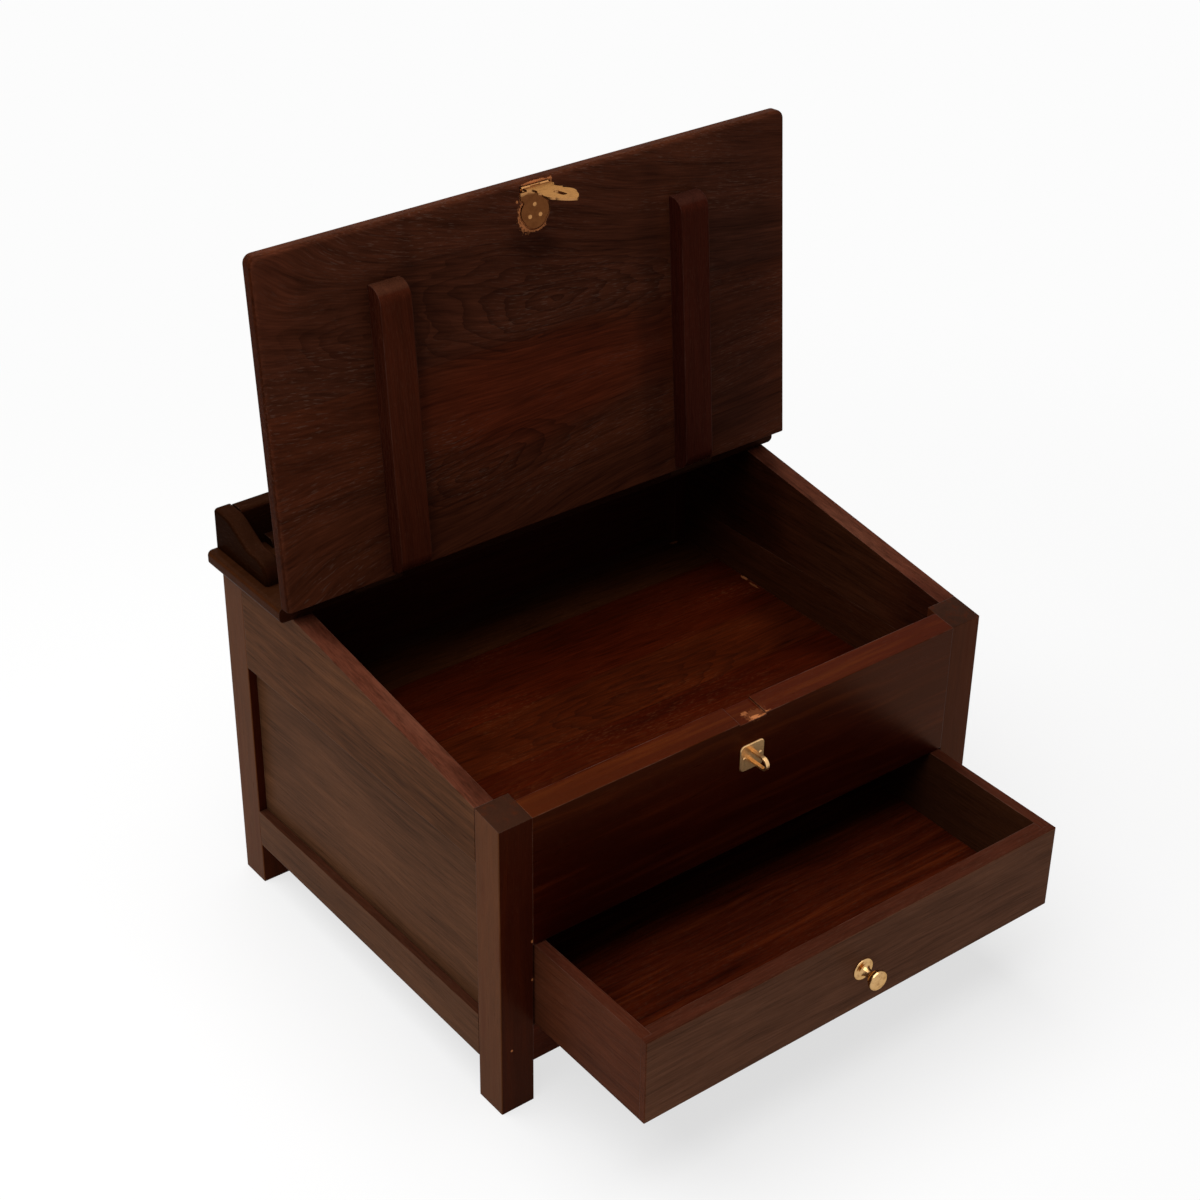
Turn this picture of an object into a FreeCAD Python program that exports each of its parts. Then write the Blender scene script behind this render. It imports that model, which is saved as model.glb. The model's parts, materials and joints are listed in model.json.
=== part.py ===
import FreeCAD, Part
import math
import os

Vector = FreeCAD.Vector

# ---------------------------------------------------------------------------
# Driving dimensions, in millimetres. The box stands as it is used: lid laid
# back on its stop hinges, drawer drawn. The origin is on the ground, under the
# middle of all that. +X is the user's right, +Y the back, +Z up.
# ---------------------------------------------------------------------------

# Carcase
CASE_WIDTH = 450.0
CASE_DEPTH = 360.0
POST = 28.0                  # side of a square corner post
FRONT_TOP = 256.0            # height of the carcase at its front face
SHELF_UNDER = 292.0          # height of the carcase under the fixed shelf
SHELF_DEPTH = 103.0          # from the back to the shelf's front edge, where the lid hinges
RAIL_THICK = 16.0            # rails of the sides and back
FRONT_THICK = 20.0           # front board and front rail
PANEL_SET_BACK = 7.0         # how far a panel lies behind the faces of its rails
TONGUE = 6.0                 # how far a panel reaches into its grooves
TONGUE_THICK = 4.0
TENON = 10.0
RAIL_UNDER = 38.0            # all bottom rails clear the ground by this much
SIDE_RAIL_TOP_FRONT = 76.0   # the hand-cut side rails are not quite parallel
SIDE_RAIL_TOP_BACK = 71.0
SIDE_HEAD_UNDER_FRONT = 214.0
SIDE_HEAD_UNDER_BACK = 209.5
BACK_RAIL_TOP = 75.0
BACK_HEAD_UNDER = 252.0
ARRIS = 0.8                  # eased corner of a plain piece

# Compartment floor
FLOOR_TOP = 172.5
FLOOR_THICK = 8.5

# Drawer and its opening
OPENING_LOW = 71.0
OPENING_HIGH = 145.0
DRAWER_GAP_UNDER = 0.5
DRAWER_GAP_OVER = 0.8
DRAWER_GAP_SIDE = 2.0
DRAWER_OUT = 124.5           # how far the drawer stands out
DRAWER_LENGTH = 318.0
DRAWER_FRONT_THICK = 14.0
DRAWER_SIDE_THICK = 9.0
DRAWER_LAP = 8.0             # how far a side runs into its rebate in the front
DRAWER_BOTTOM_RISE = 7.0
DRAWER_BOTTOM_THICK = 5.0
DRAWER_GROOVE = 4.0

# Shelf and gallery
OVERHANG = 11.0
SHELF_THICK = 12.5
SHELF_ROUND = 4.0
GALLERY_INSET = 8.5
GALLERY_THICK = 15.0
GALLERY_BACK_THICK = 14.0
GALLERY_HEIGHT = 33.6
GALLERY_DEPTH = 71.7
GALLERY_ROUND = 2.8
PEN_STOP = 7.0               # height of the strip along the foot of the gallery back
PEN_STOP_DEPTH = 12.0
PEN_STOP_SHORT = 18.0        # gap left at each end of the strip

# Lid
LID_THICK = 12.7
LID_LENGTH = 270.0
LID_CORNER = 7.0
LID_ROUND = 3.5
LID_LEAN = 4.5               # degrees past upright where the stop hinges hold it
BATTEN_WIDTH = 26.0
BATTEN_THICK = 15.0
BATTEN_CENTRE = 134.0
BATTEN_FROM = 4.0
BATTEN_TO = 228.0
BATTEN_NOSE = 12.0

# Butt hinges
HINGE_CENTRE = 150.0
HINGE_LENGTH = 42.0
HINGE_LEAF = 10.5
HINGE_METAL = 1.2
HINGE_KNUCKLE = 2.8
HINGE_PIN = 1.2
PIN_PLAY = 0.05              # radial clearance of every pin in the turning knuckle
KNUCKLE_GAP = 0.35
HINGE_EDGE_GAP = 1.2         # pin to shelf edge, and pin to lid edge
HINGE_PROUD = 1.0            # pin above the lid's outer face
PIN_ABOVE_SHELF = 1.5

# Hasp and staple
HASP_X = -2.0
HASP_WIDTH = 24.0
HASP_METAL = 1.2             # fixed leaf
HASP_LEAF_METAL = 1.6        # swinging leaf
HASP_KNUCKLE = 2.3
HASP_PIN = 0.9
HASP_ALONG = 264.5           # hasp pin from the lid's hinged edge
HASP_SUNK = 0.1              # hasp pin below the face of the lid's underside
HASP_SWAGE = 0.2             # face of the swinging leaf from the pin's centre
HASP_ANGLE = 93.0            # swinging leaf from flat against the underside
HASP_SLOT_FROM = 25.2
HASP_SLOT_TO = 38.7
HASP_SLOT_WIDTH = 4.4
HASP_LEAF_END = 52.0
HASP_FIXED_END = 31.0
HASP_MORTISE_ROOM = 1.4
STAPLE_PLATE = 22.5
STAPLE_METAL = 1.2
STAPLE_CORNER = 4.0
STAPLE_STRAP = 2.3
STAPLE_STRAP_WIDTH = 3.2
STAPLE_EYE_HALF = 5.6
STAPLE_REACH = 18.5
NOTCH_DEPTH = 1.7            # room for the hasp leaf when it is folded under the closed lid

# Knob
KNOB_X = 2.6
KNOB_Z = 106.7
KNOB_ROSE = 9.0
KNOB_ROSE_THICK = 1.8
KNOB_HEAD = 8.0
KNOB_REACH = 18.0
KNOB_SCREW = 1.9
KNOB_SCREW_DEPTH = 8.0

# ---------------------------------------------------------------------------
# Dimensions that follow
# ---------------------------------------------------------------------------

HALF_WIDTH = CASE_WIDTH / 2
FRONT = (DRAWER_OUT + KNOB_REACH - CASE_DEPTH) / 2
BACK = FRONT + CASE_DEPTH
SHELF_FRONT = BACK - SHELF_DEPTH
POST_INNER_X = HALF_WIDTH - POST
POST_INNER_FRONT = FRONT + POST
POST_INNER_BACK = BACK - POST
RAIL_INNER_X = HALF_WIDTH - RAIL_THICK
BACK_INNER = BACK - RAIL_THICK
SHELF_TOP = SHELF_UNDER + SHELF_THICK
SLOPE = math.atan2(SHELF_UNDER - FRONT_TOP, SHELF_FRONT - FRONT)
PIN_Y = SHELF_FRONT - HINGE_EDGE_GAP
PIN_Z = SHELF_TOP + PIN_ABOVE_SHELF
LID_HALF = HALF_WIDTH + OVERHANG
LID_OUTER_Y = PIN_Y - HINGE_PROUD
LID_FOOT_Z = PIN_Z + HINGE_EDGE_GAP
LID_UNDER_Y = LID_OUTER_Y - LID_THICK
HASP_PIN_Y = LID_UNDER_Y + HASP_SUNK
HASP_PIN_Z = LID_FOOT_Z + HASP_ALONG
DRAWER_FACE = FRONT - DRAWER_OUT
DRAWER_HALF = POST_INNER_X - DRAWER_GAP_SIDE
DRAWER_LOW = OPENING_LOW + DRAWER_GAP_UNDER
DRAWER_HIGH = OPENING_HIGH - DRAWER_GAP_OVER
DRAWER_END = DRAWER_FACE + DRAWER_LENGTH
X_AXIS = Vector(1, 0, 0)
Y_AXIS = Vector(0, 1, 0)
ORIGIN = Vector(0, 0, 0)
PIN_POINT = Vector(0, PIN_Y, PIN_Z)
HASP_PIN_POINT = Vector(0, HASP_PIN_Y, HASP_PIN_Z)


# ---------------------------------------------------------------------------
# Small tools
# ---------------------------------------------------------------------------

def block(x0, x1, y0, y1, z0, z1):
    """Box between two corners."""
    return Part.makeBox(x1 - x0, y1 - y0, z1 - z0, Vector(x0, y0, z0))


def slab_along_x(outline, x0, x1):
    """Polygon of (y, z) points, carried along X."""
    wire = Part.makePolygon([Vector(x0, y, z) for y, z in outline + outline[:1]])
    return Part.Face(wire).extrude(Vector(x1 - x0, 0, 0))


def mirrored(shape):
    """The same piece for the other side of the box."""
    return shape.mirror(ORIGIN, X_AXIS)


def united(first, *others):
    """One solid from touching or overlapping ones."""
    return first.fuse(list(others)).removeSplitter()


def eased(shape, radius, wanted):
    """Round the edges whose bounding box the test accepts."""
    edges = [edge for edge in shape.Edges if wanted(edge.BoundBox)]
    return shape.makeFillet(radius, edges)


def upright(box):
    """An edge that runs along Z."""
    return box.ZLength > 5 and box.XLength < 0.01 and box.YLength < 0.01


def across(box):
    """An edge that runs along X."""
    return box.XLength > 5 and box.YLength < 0.01 and box.ZLength < 0.01


def rod_along_x(radius, x0, x1, y, z):
    """Cylinder whose axis runs along X."""
    return Part.makeCylinder(radius, x1 - x0, Vector(x0, y, z), X_AXIS)


def rod_along_y(radius, y0, y1, x, z):
    """Cylinder whose axis runs along Y."""
    return Part.makeCylinder(radius, y1 - y0, Vector(x, y0, z), Y_AXIS)


def slope_height(y):
    """Height of the sloped rim of the carcase at y."""
    return FRONT_TOP + (y - FRONT) * math.tan(SLOPE)


def laid_back(shape):
    """Turn a piece of the upright lid to where the stop hinges hold it."""
    turned = shape.copy()
    turned.rotate(PIN_POINT, X_AXIS, -LID_LEAN)
    return turned


# ---------------------------------------------------------------------------
# Carcase
# ---------------------------------------------------------------------------

def with_outer_arris(post):
    """Ease a left post's outer corners."""
    return eased(post, ARRIS, lambda box: upright(box) and box.XMax < -POST_INNER_X - 1)


def front_post():
    """Left front post: its top follows the slope of the lid."""
    outline = [(FRONT, 0), (POST_INNER_FRONT, 0),
               (POST_INNER_FRONT, slope_height(POST_INNER_FRONT)), (FRONT, FRONT_TOP)]
    return with_outer_arris(slab_along_x(outline, -HALF_WIDTH, -POST_INNER_X))


def back_post():
    """Left back post, up to the underside of the shelf."""
    return with_outer_arris(block(-HALF_WIDTH, -POST_INNER_X, POST_INNER_BACK, BACK, 0, SHELF_UNDER))


def side_tenons(low, high):
    """Tenons at both ends of a left side rail."""
    x0 = -HALF_WIDTH + RAIL_THICK / 3
    x1 = -HALF_WIDTH + 2 * RAIL_THICK / 3
    front = block(x0, x1, POST_INNER_FRONT - TENON, POST_INNER_FRONT, low, high)
    back = block(x0, x1, POST_INNER_BACK, POST_INNER_BACK + TENON, low, high)
    return front, back


def side_head_rail():
    """Left top rail: sloped rim at the front, level under the shelf."""
    outline = [(POST_INNER_FRONT, SIDE_HEAD_UNDER_FRONT), (POST_INNER_BACK, SIDE_HEAD_UNDER_BACK),
               (POST_INNER_BACK, SHELF_UNDER), (SHELF_FRONT, SHELF_UNDER),
               (POST_INNER_FRONT, slope_height(POST_INNER_FRONT))]
    rail = slab_along_x(outline, -HALF_WIDTH, -RAIL_INNER_X)
    return united(rail, *side_tenons(SIDE_HEAD_UNDER_FRONT + 8, slope_height(POST_INNER_FRONT) - 10))


def side_foot_rail():
    """Left bottom rail."""
    outline = [(POST_INNER_FRONT, RAIL_UNDER), (POST_INNER_BACK, RAIL_UNDER),
               (POST_INNER_BACK, SIDE_RAIL_TOP_BACK), (POST_INNER_FRONT, SIDE_RAIL_TOP_FRONT)]
    rail = slab_along_x(outline, -HALF_WIDTH, -RAIL_INNER_X)
    return united(rail, *side_tenons(RAIL_UNDER + 6, SIDE_RAIL_TOP_BACK - 10))


def side_panel():
    """Left panel: flush inside, set back outside, with a tongue all round."""
    x0 = -HALF_WIDTH + PANEL_SET_BACK
    field = slab_along_x(
        [(POST_INNER_FRONT, SIDE_RAIL_TOP_FRONT), (POST_INNER_BACK, SIDE_RAIL_TOP_BACK),
         (POST_INNER_BACK, SIDE_HEAD_UNDER_BACK), (POST_INNER_FRONT, SIDE_HEAD_UNDER_FRONT)],
        x0, -RAIL_INNER_X)
    middle = (x0 - RAIL_INNER_X) / 2
    tongue = slab_along_x(
        [(POST_INNER_FRONT - TONGUE, SIDE_RAIL_TOP_FRONT - TONGUE),
         (POST_INNER_BACK + TONGUE, SIDE_RAIL_TOP_BACK - TONGUE),
         (POST_INNER_BACK + TONGUE, SIDE_HEAD_UNDER_BACK + TONGUE),
         (POST_INNER_FRONT - TONGUE, SIDE_HEAD_UNDER_FRONT + TONGUE)],
        middle - TONGUE_THICK / 2, middle + TONGUE_THICK / 2)
    return united(field, tongue)


def back_rail(low, high):
    """Back rail with a tenon at each end."""
    rail = block(-POST_INNER_X, POST_INNER_X, BACK_INNER, BACK, low, high)
    y0 = BACK - 2 * RAIL_THICK / 3
    tenon = block(-POST_INNER_X - TENON, POST_INNER_X + TENON, y0, y0 + RAIL_THICK / 3,
                  low + 6, high - 10)
    return united(rail, tenon)


def back_panel():
    """Back panel, made as the side panels are."""
    field = block(-POST_INNER_X, POST_INNER_X, BACK_INNER, BACK - PANEL_SET_BACK,
                  BACK_RAIL_TOP, BACK_HEAD_UNDER)
    middle = (BACK_INNER + BACK - PANEL_SET_BACK) / 2
    tongue = block(-POST_INNER_X - TONGUE, POST_INNER_X + TONGUE,
                   middle - TONGUE_THICK / 2, middle + TONGUE_THICK / 2,
                   BACK_RAIL_TOP - TONGUE, BACK_HEAD_UNDER + TONGUE)
    return united(field, tongue)


def front_board():
    """Board over the drawer, with the shallow seat that the folded hasp leaf needs."""
    inner = FRONT + FRONT_THICK
    outline = [(FRONT, OPENING_HIGH), (inner, OPENING_HIGH),
               (inner, slope_height(inner)), (FRONT, FRONT_TOP)]
    board = slab_along_x(outline, -POST_INNER_X, POST_INNER_X)
    tenon = block(-POST_INNER_X - TENON, POST_INNER_X + TENON,
                  FRONT + FRONT_THICK / 3, FRONT + 2 * FRONT_THICK / 3,
                  OPENING_HIGH + 8, FRONT_TOP - 10)
    half = HASP_WIDTH / 2 + 0.6
    before = FRONT - 1
    behind = inner + 1
    notch = slab_along_x(
        [(before, slope_height(before) - NOTCH_DEPTH), (behind, slope_height(behind) - NOTCH_DEPTH),
         (behind, slope_height(behind) + 1), (before, slope_height(before) + 1)],
        HASP_X - half, HASP_X + half)
    return united(board, tenon).cut(notch)


def front_rail():
    """Rail under the drawer."""
    rail = block(-POST_INNER_X, POST_INNER_X, FRONT, FRONT + FRONT_THICK, RAIL_UNDER, OPENING_LOW)
    tenon = block(-POST_INNER_X - TENON, POST_INNER_X + TENON,
                  FRONT + FRONT_THICK / 3, FRONT + 2 * FRONT_THICK / 3,
                  RAIL_UNDER + 6, OPENING_LOW - 6)
    return united(rail, tenon)


def compartment_floor():
    """Main floor board, notched round the front posts."""
    floor = block(-RAIL_INNER_X, RAIL_INNER_X, FRONT + FRONT_THICK, POST_INNER_BACK,
                  FLOOR_TOP - FLOOR_THICK, FLOOR_TOP)
    corner = block(-HALF_WIDTH, -POST_INNER_X, FRONT, POST_INNER_FRONT, 0, SHELF_UNDER)
    return floor.cut([corner, mirrored(corner)])


def floor_strip():
    """Narrow strip that fills the floor between the back posts."""
    return block(-POST_INNER_X, POST_INNER_X, POST_INNER_BACK, BACK_INNER,
                 FLOOR_TOP - FLOOR_THICK, FLOOR_TOP)


def drawer_runner():
    """Left runner, from the front rail to the back rail."""
    return block(-POST_INNER_X, -POST_INNER_X + 20, FRONT + FRONT_THICK, BACK_INNER,
                 OPENING_LOW - 10, OPENING_LOW)


def drawer_guide():
    """Left guide, which fills the side out to the faces of the posts."""
    return block(-RAIL_INNER_X, -POST_INNER_X, POST_INNER_FRONT, POST_INNER_BACK,
                 OPENING_LOW - 10, OPENING_LOW + 22)


def floor_bearer():
    """Left bearer: it carries the floor and keeps the drawer from tipping."""
    return block(-RAIL_INNER_X, -RAIL_INNER_X + 24, POST_INNER_FRONT, POST_INNER_BACK,
                 OPENING_HIGH, FLOOR_TOP - FLOOR_THICK)


def drawer_stops():
    """Two blocks on the runners that stop the closed drawer flush."""
    closed_end = DRAWER_END + DRAWER_OUT
    left = block(-POST_INNER_X + 3, -POST_INNER_X + 19, closed_end + 0.4, POST_INNER_BACK,
                 OPENING_LOW, OPENING_LOW + 14)
    return Part.makeCompound([left, mirrored(left)])


# ---------------------------------------------------------------------------
# Shelf and gallery
# ---------------------------------------------------------------------------

def shelf():
    """Fixed shelf: its ends overhang the sides and are rounded."""
    board = block(-LID_HALF, LID_HALF, SHELF_FRONT, BACK, SHELF_UNDER, SHELF_TOP)

    def end_edge(box):
        return box.YLength > 5 and box.XLength < 0.01 and box.ZLength < 0.01

    return eased(board, SHELF_ROUND, end_edge)


def gallery_side():
    """Left gallery bracket: level at the back, an ogee down to a rounded toe."""
    low = SHELF_TOP
    toe = BACK - GALLERY_DEPTH
    x0 = -LID_HALF + GALLERY_INSET
    brow = (BACK - 19.0, low + GALLERY_HEIGHT)
    throat = (BACK - 45.2, low + 19.3)
    cap = (toe, low + 19.3)
    outline = [(BACK, low), (BACK, low + GALLERY_HEIGHT), brow, throat, cap, (toe, low)]
    bracket = slab_along_x(outline, x0, x0 + GALLERY_THICK)
    for (y, z), radius in ((brow, 25.0), (throat, 20.0), (cap, 15.0)):
        bracket = eased(bracket, radius, lambda box: across(box) and math.hypot(
            box.YMin - y, box.ZMin - z) < 0.01)

    def scroll_edge(box):
        foot = box.ZMax < low + 0.01
        heel = box.YMin > BACK - 0.01
        return box.XLength < 0.01 and not foot and not heel

    return eased(bracket, GALLERY_ROUND, scroll_edge)


def gallery_back():
    """Board between the brackets, rounded along its top."""
    half = LID_HALF - GALLERY_INSET - GALLERY_THICK
    board = block(-half, half, BACK - GALLERY_BACK_THICK, BACK, SHELF_TOP,
                  SHELF_TOP + GALLERY_HEIGHT)

    def top_edge(box):
        return across(box) and box.ZMin > SHELF_TOP + 1

    return eased(board, GALLERY_ROUND, top_edge)


def pen_stop():
    """Pen stop: a strip with a rounded nose at the foot of the gallery back."""
    half = LID_HALF - GALLERY_INSET - GALLERY_THICK - PEN_STOP_SHORT
    y1 = BACK - GALLERY_BACK_THICK
    strip = block(-half, half, y1 - PEN_STOP_DEPTH, y1, SHELF_TOP, SHELF_TOP + PEN_STOP)

    def nose_edge(box):
        return across(box) and box.ZMin > SHELF_TOP + 1 and box.YMax < y1 - 1

    return eased(strip, 0.6 * PEN_STOP, nose_edge)


# ---------------------------------------------------------------------------
# Butt hinges, drawn with the lid upright
# ---------------------------------------------------------------------------

def hinge_spans():
    """The three knuckles of a hinge as (start, end) from the hinge's middle."""
    third = HINGE_LENGTH / 3
    return [(-HINGE_LENGTH / 2, -third / 2 - KNUCKLE_GAP), (-third / 2, third / 2),
            (third / 2 + KNUCKLE_GAP, HINGE_LENGTH / 2)]


def hinge_pin(x):
    """Pin of one hinge."""
    return rod_along_x(HINGE_PIN, x - HINGE_LENGTH / 2, x + HINGE_LENGTH / 2, PIN_Y, PIN_Z)


def hinge_shelf_leaf(x):
    """Leaf let into the shelf's front edge: it carries the two outer knuckles."""
    spans = hinge_spans()
    low = PIN_Z - HINGE_LEAF - HINGE_EDGE_GAP
    plate = block(x - HINGE_LENGTH / 2, x + HINGE_LENGTH / 2, SHELF_FRONT, SHELF_FRONT + HINGE_METAL,
                  low, PIN_Z - HINGE_KNUCKLE - KNUCKLE_GAP)
    pieces = []
    for start, end in (spans[0], spans[2]):
        pieces.append(rod_along_x(HINGE_KNUCKLE, x + start, x + end, PIN_Y, PIN_Z))
        pieces.append(block(x + start, x + end, SHELF_FRONT, SHELF_FRONT + HINGE_METAL, low, PIN_Z))
    bore = rod_along_x(HINGE_PIN, x - HINGE_LENGTH, x + HINGE_LENGTH, PIN_Y, PIN_Z)
    return united(plate, *pieces).cut(bore)


def hinge_lid_leaf(x):
    """Leaf let into the lid's hinged edge: it carries the middle knuckle."""
    start, end = hinge_spans()[1]
    foot = LID_FOOT_Z
    far = PIN_Y - HINGE_LEAF - HINGE_EDGE_GAP
    near = PIN_Y - HINGE_KNUCKLE - KNUCKLE_GAP
    plate = block(x - HINGE_LENGTH / 2, x + HINGE_LENGTH / 2, far, near, foot, foot + HINGE_METAL)
    neck = block(x + start, x + end, far, PIN_Y, foot, foot + HINGE_METAL)
    knuckle = rod_along_x(HINGE_KNUCKLE, x + start, x + end, PIN_Y, PIN_Z)
    bore = rod_along_x(HINGE_PIN + PIN_PLAY, x - HINGE_LENGTH, x + HINGE_LENGTH, PIN_Y, PIN_Z)
    return united(plate, neck, knuckle).cut(bore)


def hinge_room(x):
    """Space that the barrel needs in the shelf and in the lid."""
    half = HINGE_LENGTH / 2 + 1.3
    return rod_along_x(HINGE_KNUCKLE + KNUCKLE_GAP, x - half, x + half, PIN_Y, PIN_Z)


# ---------------------------------------------------------------------------
# Lid, drawn upright over its pin
# ---------------------------------------------------------------------------

def lid_board():
    """The lid's board, with its free corners and edges rounded."""
    board = block(-LID_HALF, LID_HALF, LID_UNDER_Y, LID_OUTER_Y, LID_FOOT_Z,
                  LID_FOOT_Z + LID_LENGTH)

    def free_corner(box):
        return box.YLength > 5 and box.ZMin > LID_FOOT_Z + 1

    def free_edge(box):
        return box.YLength < 0.01 and box.ZMax > LID_FOOT_Z + 1

    return eased(eased(board, LID_CORNER, free_corner), LID_ROUND, free_edge)


def batten(x):
    """Batten on the lid's underside with rounded ends."""
    z0 = LID_FOOT_Z + BATTEN_FROM
    z1 = LID_FOOT_Z + BATTEN_TO
    near = LID_UNDER_Y
    far = LID_UNDER_Y - BATTEN_THICK
    bar = block(x - BATTEN_WIDTH / 2, x + BATTEN_WIDTH / 2, far, near, z0, z1)

    def nose_edge(box):
        return across(box) and box.YMax < far + 1

    return eased(bar, BATTEN_NOSE, nose_edge)


# ---------------------------------------------------------------------------
# Hasp, drawn with its swinging leaf folded flat against the upright lid
# ---------------------------------------------------------------------------

def half_path(start, steps):
    """Edges of half an outline. A step is (end,) for a line or (through, end) for an arc."""
    edges = []
    here = start
    for step in steps:
        points = [Vector(u, v, 0) for u, v in step]
        if len(points) == 1:
            edges.append(Part.LineSegment(here, points[0]).toShape())
        else:
            edges.append(Part.Arc(here, points[0], points[1]).toShape())
        here = points[-1]
    return edges


def leaf_blank(first, steps, grow):
    """Face of a hasp leaf: half its outline and the mirror image, grown if asked."""
    start = Vector(first[0], first[1], 0)
    right = half_path(start, steps)
    left = [edge.mirror(ORIGIN, X_AXIS) for edge in right]
    top = Part.LineSegment(Vector(-first[0], first[1], 0), start).toShape()
    wire = Part.Wire(Part.__sortEdges__(right + left + [top]))
    if grow > 0:
        wire = wire.makeOffset2D(grow)
    return Part.Face(wire)


def on_the_lid(face, y_offset):
    """Lay a drawn face on the lid's underside, running from the hasp pin to the hinges."""
    placed = face.copy()
    placed.rotate(ORIGIN, X_AXIS, -90)
    placed.translate(Vector(HASP_X, HASP_PIN_Y + y_offset, HASP_PIN_Z))
    return placed


def fixed_leaf_face(grow):
    """Outline of the leaf that is fixed to the lid: shoulders, waist and a round lobe."""
    v0 = HASP_KNUCKLE + KNUCKLE_GAP
    half = HASP_WIDTH / 2
    return leaf_blank(
        (half, v0),
        [[(half, 8.0)], [(half - 2.2, 9.2), (half - 2.8, 11.5)],
         [(half + 0.2, 18.5), (half - 2.6, 25.0)], [(5.6, 29.6), (0, HASP_FIXED_END)]],
        grow)


def hasp_knuckles(spans, bore):
    """Barrel pieces on the hasp pin, with their bore."""
    rods = [rod_along_x(HASP_KNUCKLE, HASP_X + start, HASP_X + end, HASP_PIN_Y, HASP_PIN_Z)
            for start, end in spans]
    hole = rod_along_x(bore, HASP_X - HASP_WIDTH, HASP_X + HASP_WIDTH, HASP_PIN_Y, HASP_PIN_Z)
    return rods, hole


def hasp_spans():
    """The hasp's three knuckles as (start, end) from its middle."""
    half = HASP_WIDTH / 2
    third = HASP_WIDTH / 6
    return [(-half, -third - KNUCKLE_GAP), (-third, third), (third + KNUCKLE_GAP, half)]


def hasp_fixed_leaf():
    """Leaf let into the lid, with the two outer knuckles."""
    spans = hasp_spans()
    plate = on_the_lid(fixed_leaf_face(0), HASP_SUNK).extrude(Vector(0, HASP_METAL, 0))
    necks = [block(HASP_X + start, HASP_X + end, HASP_PIN_Y + HASP_SUNK,
                   HASP_PIN_Y + HASP_SUNK + HASP_METAL, HASP_PIN_Z - HASP_KNUCKLE - 1, HASP_PIN_Z)
             for start, end in (spans[0], spans[2])]
    rods, hole = hasp_knuckles((spans[0], spans[2]), HASP_PIN)
    return united(plate, *(necks + rods)).cut(hole)


def hasp_leaf():
    """Swinging leaf: slotted spade with the middle knuckle, at its resting angle."""
    v0 = HASP_KNUCKLE + KNUCKLE_GAP + 0.4
    half = HASP_WIDTH / 2
    face = leaf_blank(
        (half, v0),
        [[(half, 8.0)], [(half - 2.6, 9.8), (half - 3.4, 13.0)], [(half - 3.4, 15.5)],
         [(half - 2.2, 18.6)], [(half - 1.2, 19.4), (half - 1.4, 20.6)], [(half - 3.0, 22.2)],
         [(half + 0.3, 30.5), (half - 2.6, 39.0)], [(5.6, 46.4), (0, HASP_LEAF_END)]],
        0)
    near = -HASP_SWAGE
    plate = on_the_lid(face, near).extrude(Vector(0, -HASP_LEAF_METAL, 0))
    start, end = hasp_spans()[1]
    neck = block(HASP_X + start, HASP_X + end, HASP_PIN_Y + near - HASP_LEAF_METAL, HASP_PIN_Y + near,
                 HASP_PIN_Z - v0 - 0.5, HASP_PIN_Z)
    rods, hole = hasp_knuckles([(start, end)], HASP_PIN + PIN_PLAY)
    leaf = united(plate, neck, *rods).cut([hole, hasp_slot()])
    leaf.rotate(HASP_PIN_POINT, X_AXIS, -HASP_ANGLE)
    return leaf


def hasp_slot():
    """Round-ended slot for the staple's eye."""
    radius = HASP_SLOT_WIDTH / 2
    y0 = HASP_PIN_Y - 3 * HASP_LEAF_METAL
    y1 = HASP_PIN_Y + HASP_LEAF_METAL
    z_high = HASP_PIN_Z - HASP_SLOT_FROM - radius
    z_low = HASP_PIN_Z - HASP_SLOT_TO + radius
    middle = block(HASP_X - radius, HASP_X + radius, y0, y1, z_low, z_high)
    return united(middle, rod_along_y(radius, y0, y1, HASP_X, z_low),
                  rod_along_y(radius, y0, y1, HASP_X, z_high))


def hasp_mortise():
    """Recess in the lid: a little larger all round than the leaf it takes."""
    floor = HASP_SUNK + HASP_METAL
    leaf_room = on_the_lid(fixed_leaf_face(HASP_MORTISE_ROOM), floor)
    leaf_room = leaf_room.extrude(Vector(0, -floor - HASP_SUNK - 1, 0))
    half = HASP_WIDTH / 2 + 0.7
    barrel_room = rod_along_x(HASP_KNUCKLE + KNUCKLE_GAP, HASP_X - half, HASP_X + half,
                              HASP_PIN_Y, HASP_PIN_Z)
    neck_room = block(HASP_X - half, HASP_X + half, HASP_PIN_Y - HASP_SUNK, HASP_PIN_Y + floor,
                      HASP_PIN_Z - HASP_KNUCKLE - 2, HASP_PIN_Z)
    return [leaf_room, barrel_room, neck_room]


def hasp_pin():
    """Pin of the hasp, a little longer than the barrel at each end."""
    half = HASP_WIDTH / 2 + 0.4
    return rod_along_x(HASP_PIN, HASP_X - half, HASP_X + half, HASP_PIN_Y, HASP_PIN_Z)


# ---------------------------------------------------------------------------
# Staple on the front board
# ---------------------------------------------------------------------------

def staple_height():
    """Height at which the slot of the closed hasp comes over the staple."""
    middle = (HASP_SLOT_FROM + HASP_SLOT_TO) / 2
    along = HASP_ALONG + HINGE_EDGE_GAP
    off = LID_THICK - HASP_SUNK + HINGE_PROUD
    pin_z = PIN_Z - along * math.sin(SLOPE) - off * math.cos(SLOPE)
    hang = math.radians(HASP_ANGLE) - SLOPE
    return pin_z - middle * math.sin(hang)


def staple_plate():
    """Square plate with rounded corners and softened edges."""
    half = STAPLE_PLATE / 2
    z = staple_height()
    plate = block(HASP_X - half, HASP_X + half, FRONT - STAPLE_METAL, FRONT, z - half, z + half)
    plate = eased(plate, STAPLE_CORNER, lambda box: box.YLength > STAPLE_METAL / 2)
    rim = [edge for edge in plate.Edges if edge.BoundBox.YMax < FRONT - STAPLE_METAL + 0.01]
    return plate.makeChamfer(0.6, rim)


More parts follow.
